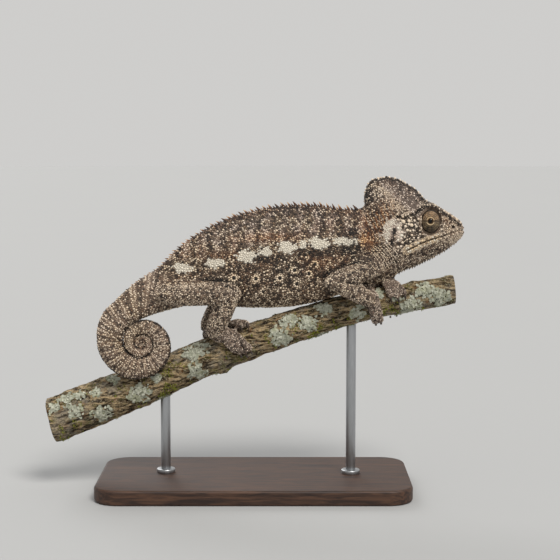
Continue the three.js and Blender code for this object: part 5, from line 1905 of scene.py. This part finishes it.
def boardFinish():
    f = Finish("stainedWood", Specular_IOR_Level=0.4)
    lengthways = f.scaled(0.08, 1, 1)
    grain = f.clouds(2.6, 6, 0.62, lengthways, 0.8)
    pores = f.clouds(0.7, 3, 0.6, f.scaled(0.05, 1, 1))
    colour = f.blend(grain.ramp(0.32, 0.7), boardPaints["dark"], boardPaints["light"])
    colour = f.blend((pores.ramp(0.56, 0.66) * 0.5).within(), colour, boardPaints["pore"])
    return f.give(colour, 0.46 + 0.14 * grain, grain + pores * 0.5, 0.06)


def steelFinish():
    f = Finish("steel", Metallic=1.0)
    brushed = f.clouds(0.5, 3, 0.6, f.scaled(1, 1, 0.06))
    colour = f.blend(brushed, steelPaints["dark"], steelPaints["light"])
    return f.give(colour, 0.28 + 0.16 * brushed, brushed, 0.02)


makeBoard(boardFinish())
steel = steelFinish()
for name in ("stand_rod_front", "stand_rod_rear"):
    makeRod(name, steel)
print("perch and stand")


# Floor, light and camera.

# Places here are in metres. A sun's spread is in degrees
floor = dict(radius=12, dark=paint(171, 172, 173), light=paint(173, 174, 174))
sky = dict(colour=(1, 0.99, 0.97, 1), strength=0.62)
suns = [
    dict(name="key", place=(0.45, -0.8, 1.3), power=2.3, colour=(1, 0.97, 0.92), spread=22),
    dict(name="rim", place=(-0.5, 1.0, 0.9), power=0.8, colour=(1, 1, 1), spread=30),
]
litPlace = (0, 0, 0.16)


def makeFloor():
    disc = bmesh.new()
    bmesh.ops.create_circle(disc, cap_ends=True, segments=64, radius=floor["radius"])
    paper = Finish("paper")
    shade = paper.clouds(400, 2)
    tone = paper.blend(shade, floor["dark"], floor["light"])
    piece = addObject("floor", asMesh(disc, "floor"))
    piece.data.materials.append(paper.give(tone, 0.85 + 0.05 * shade))


def makeSun(name, place, power, colour, spread):
    lamp = bpy.data.lights.new(name, "SUN")
    lamp.energy, lamp.color, lamp.angle = power, colour, radians(spread)
    holder = addObject(name, lamp)
    holder.location = place
    holder.rotation_euler = (Vector(litPlace) - Vector(place)).to_track_quat("-Z", "Y").to_euler()


def makeSky():
    world = bpy.data.worlds.new("softbox")
    world.use_nodes = True
    world.node_tree.nodes["Background"].inputs["Color"].default_value = sky["colour"]
    world.node_tree.nodes["Background"].inputs["Strength"].default_value = sky["strength"]
    bpy.context.scene.world = world


# The target and distance are in millimetres, and the pitch in degrees
view = dict(target=(20.8, 0, 169.6), distance=1100, pitch=6, lens=88.4, sensor=36, farthest=40)


def makeCamera():
    lens = bpy.data.cameras.new("camera")
    lens.lens, lens.sensor_width, lens.clip_end = view["lens"], view["sensor"], view["farthest"]
    holder = addObject("camera", lens)
    target = Vector(placed([view["target"]])[0])
    back = Vector((0, -cos(radians(view["pitch"])), sin(radians(view["pitch"]))))
    holder.location = target + back * view["distance"] * mm
    holder.rotation_euler = (-back).to_track_quat("-Z", "Y").to_euler()
    bpy.context.scene.camera = holder


makeFloor()
makeSky()
for sun in suns:
    makeSun(**sun)
makeCamera()
bpy.context.scene.view_settings.view_transform = "Standard"
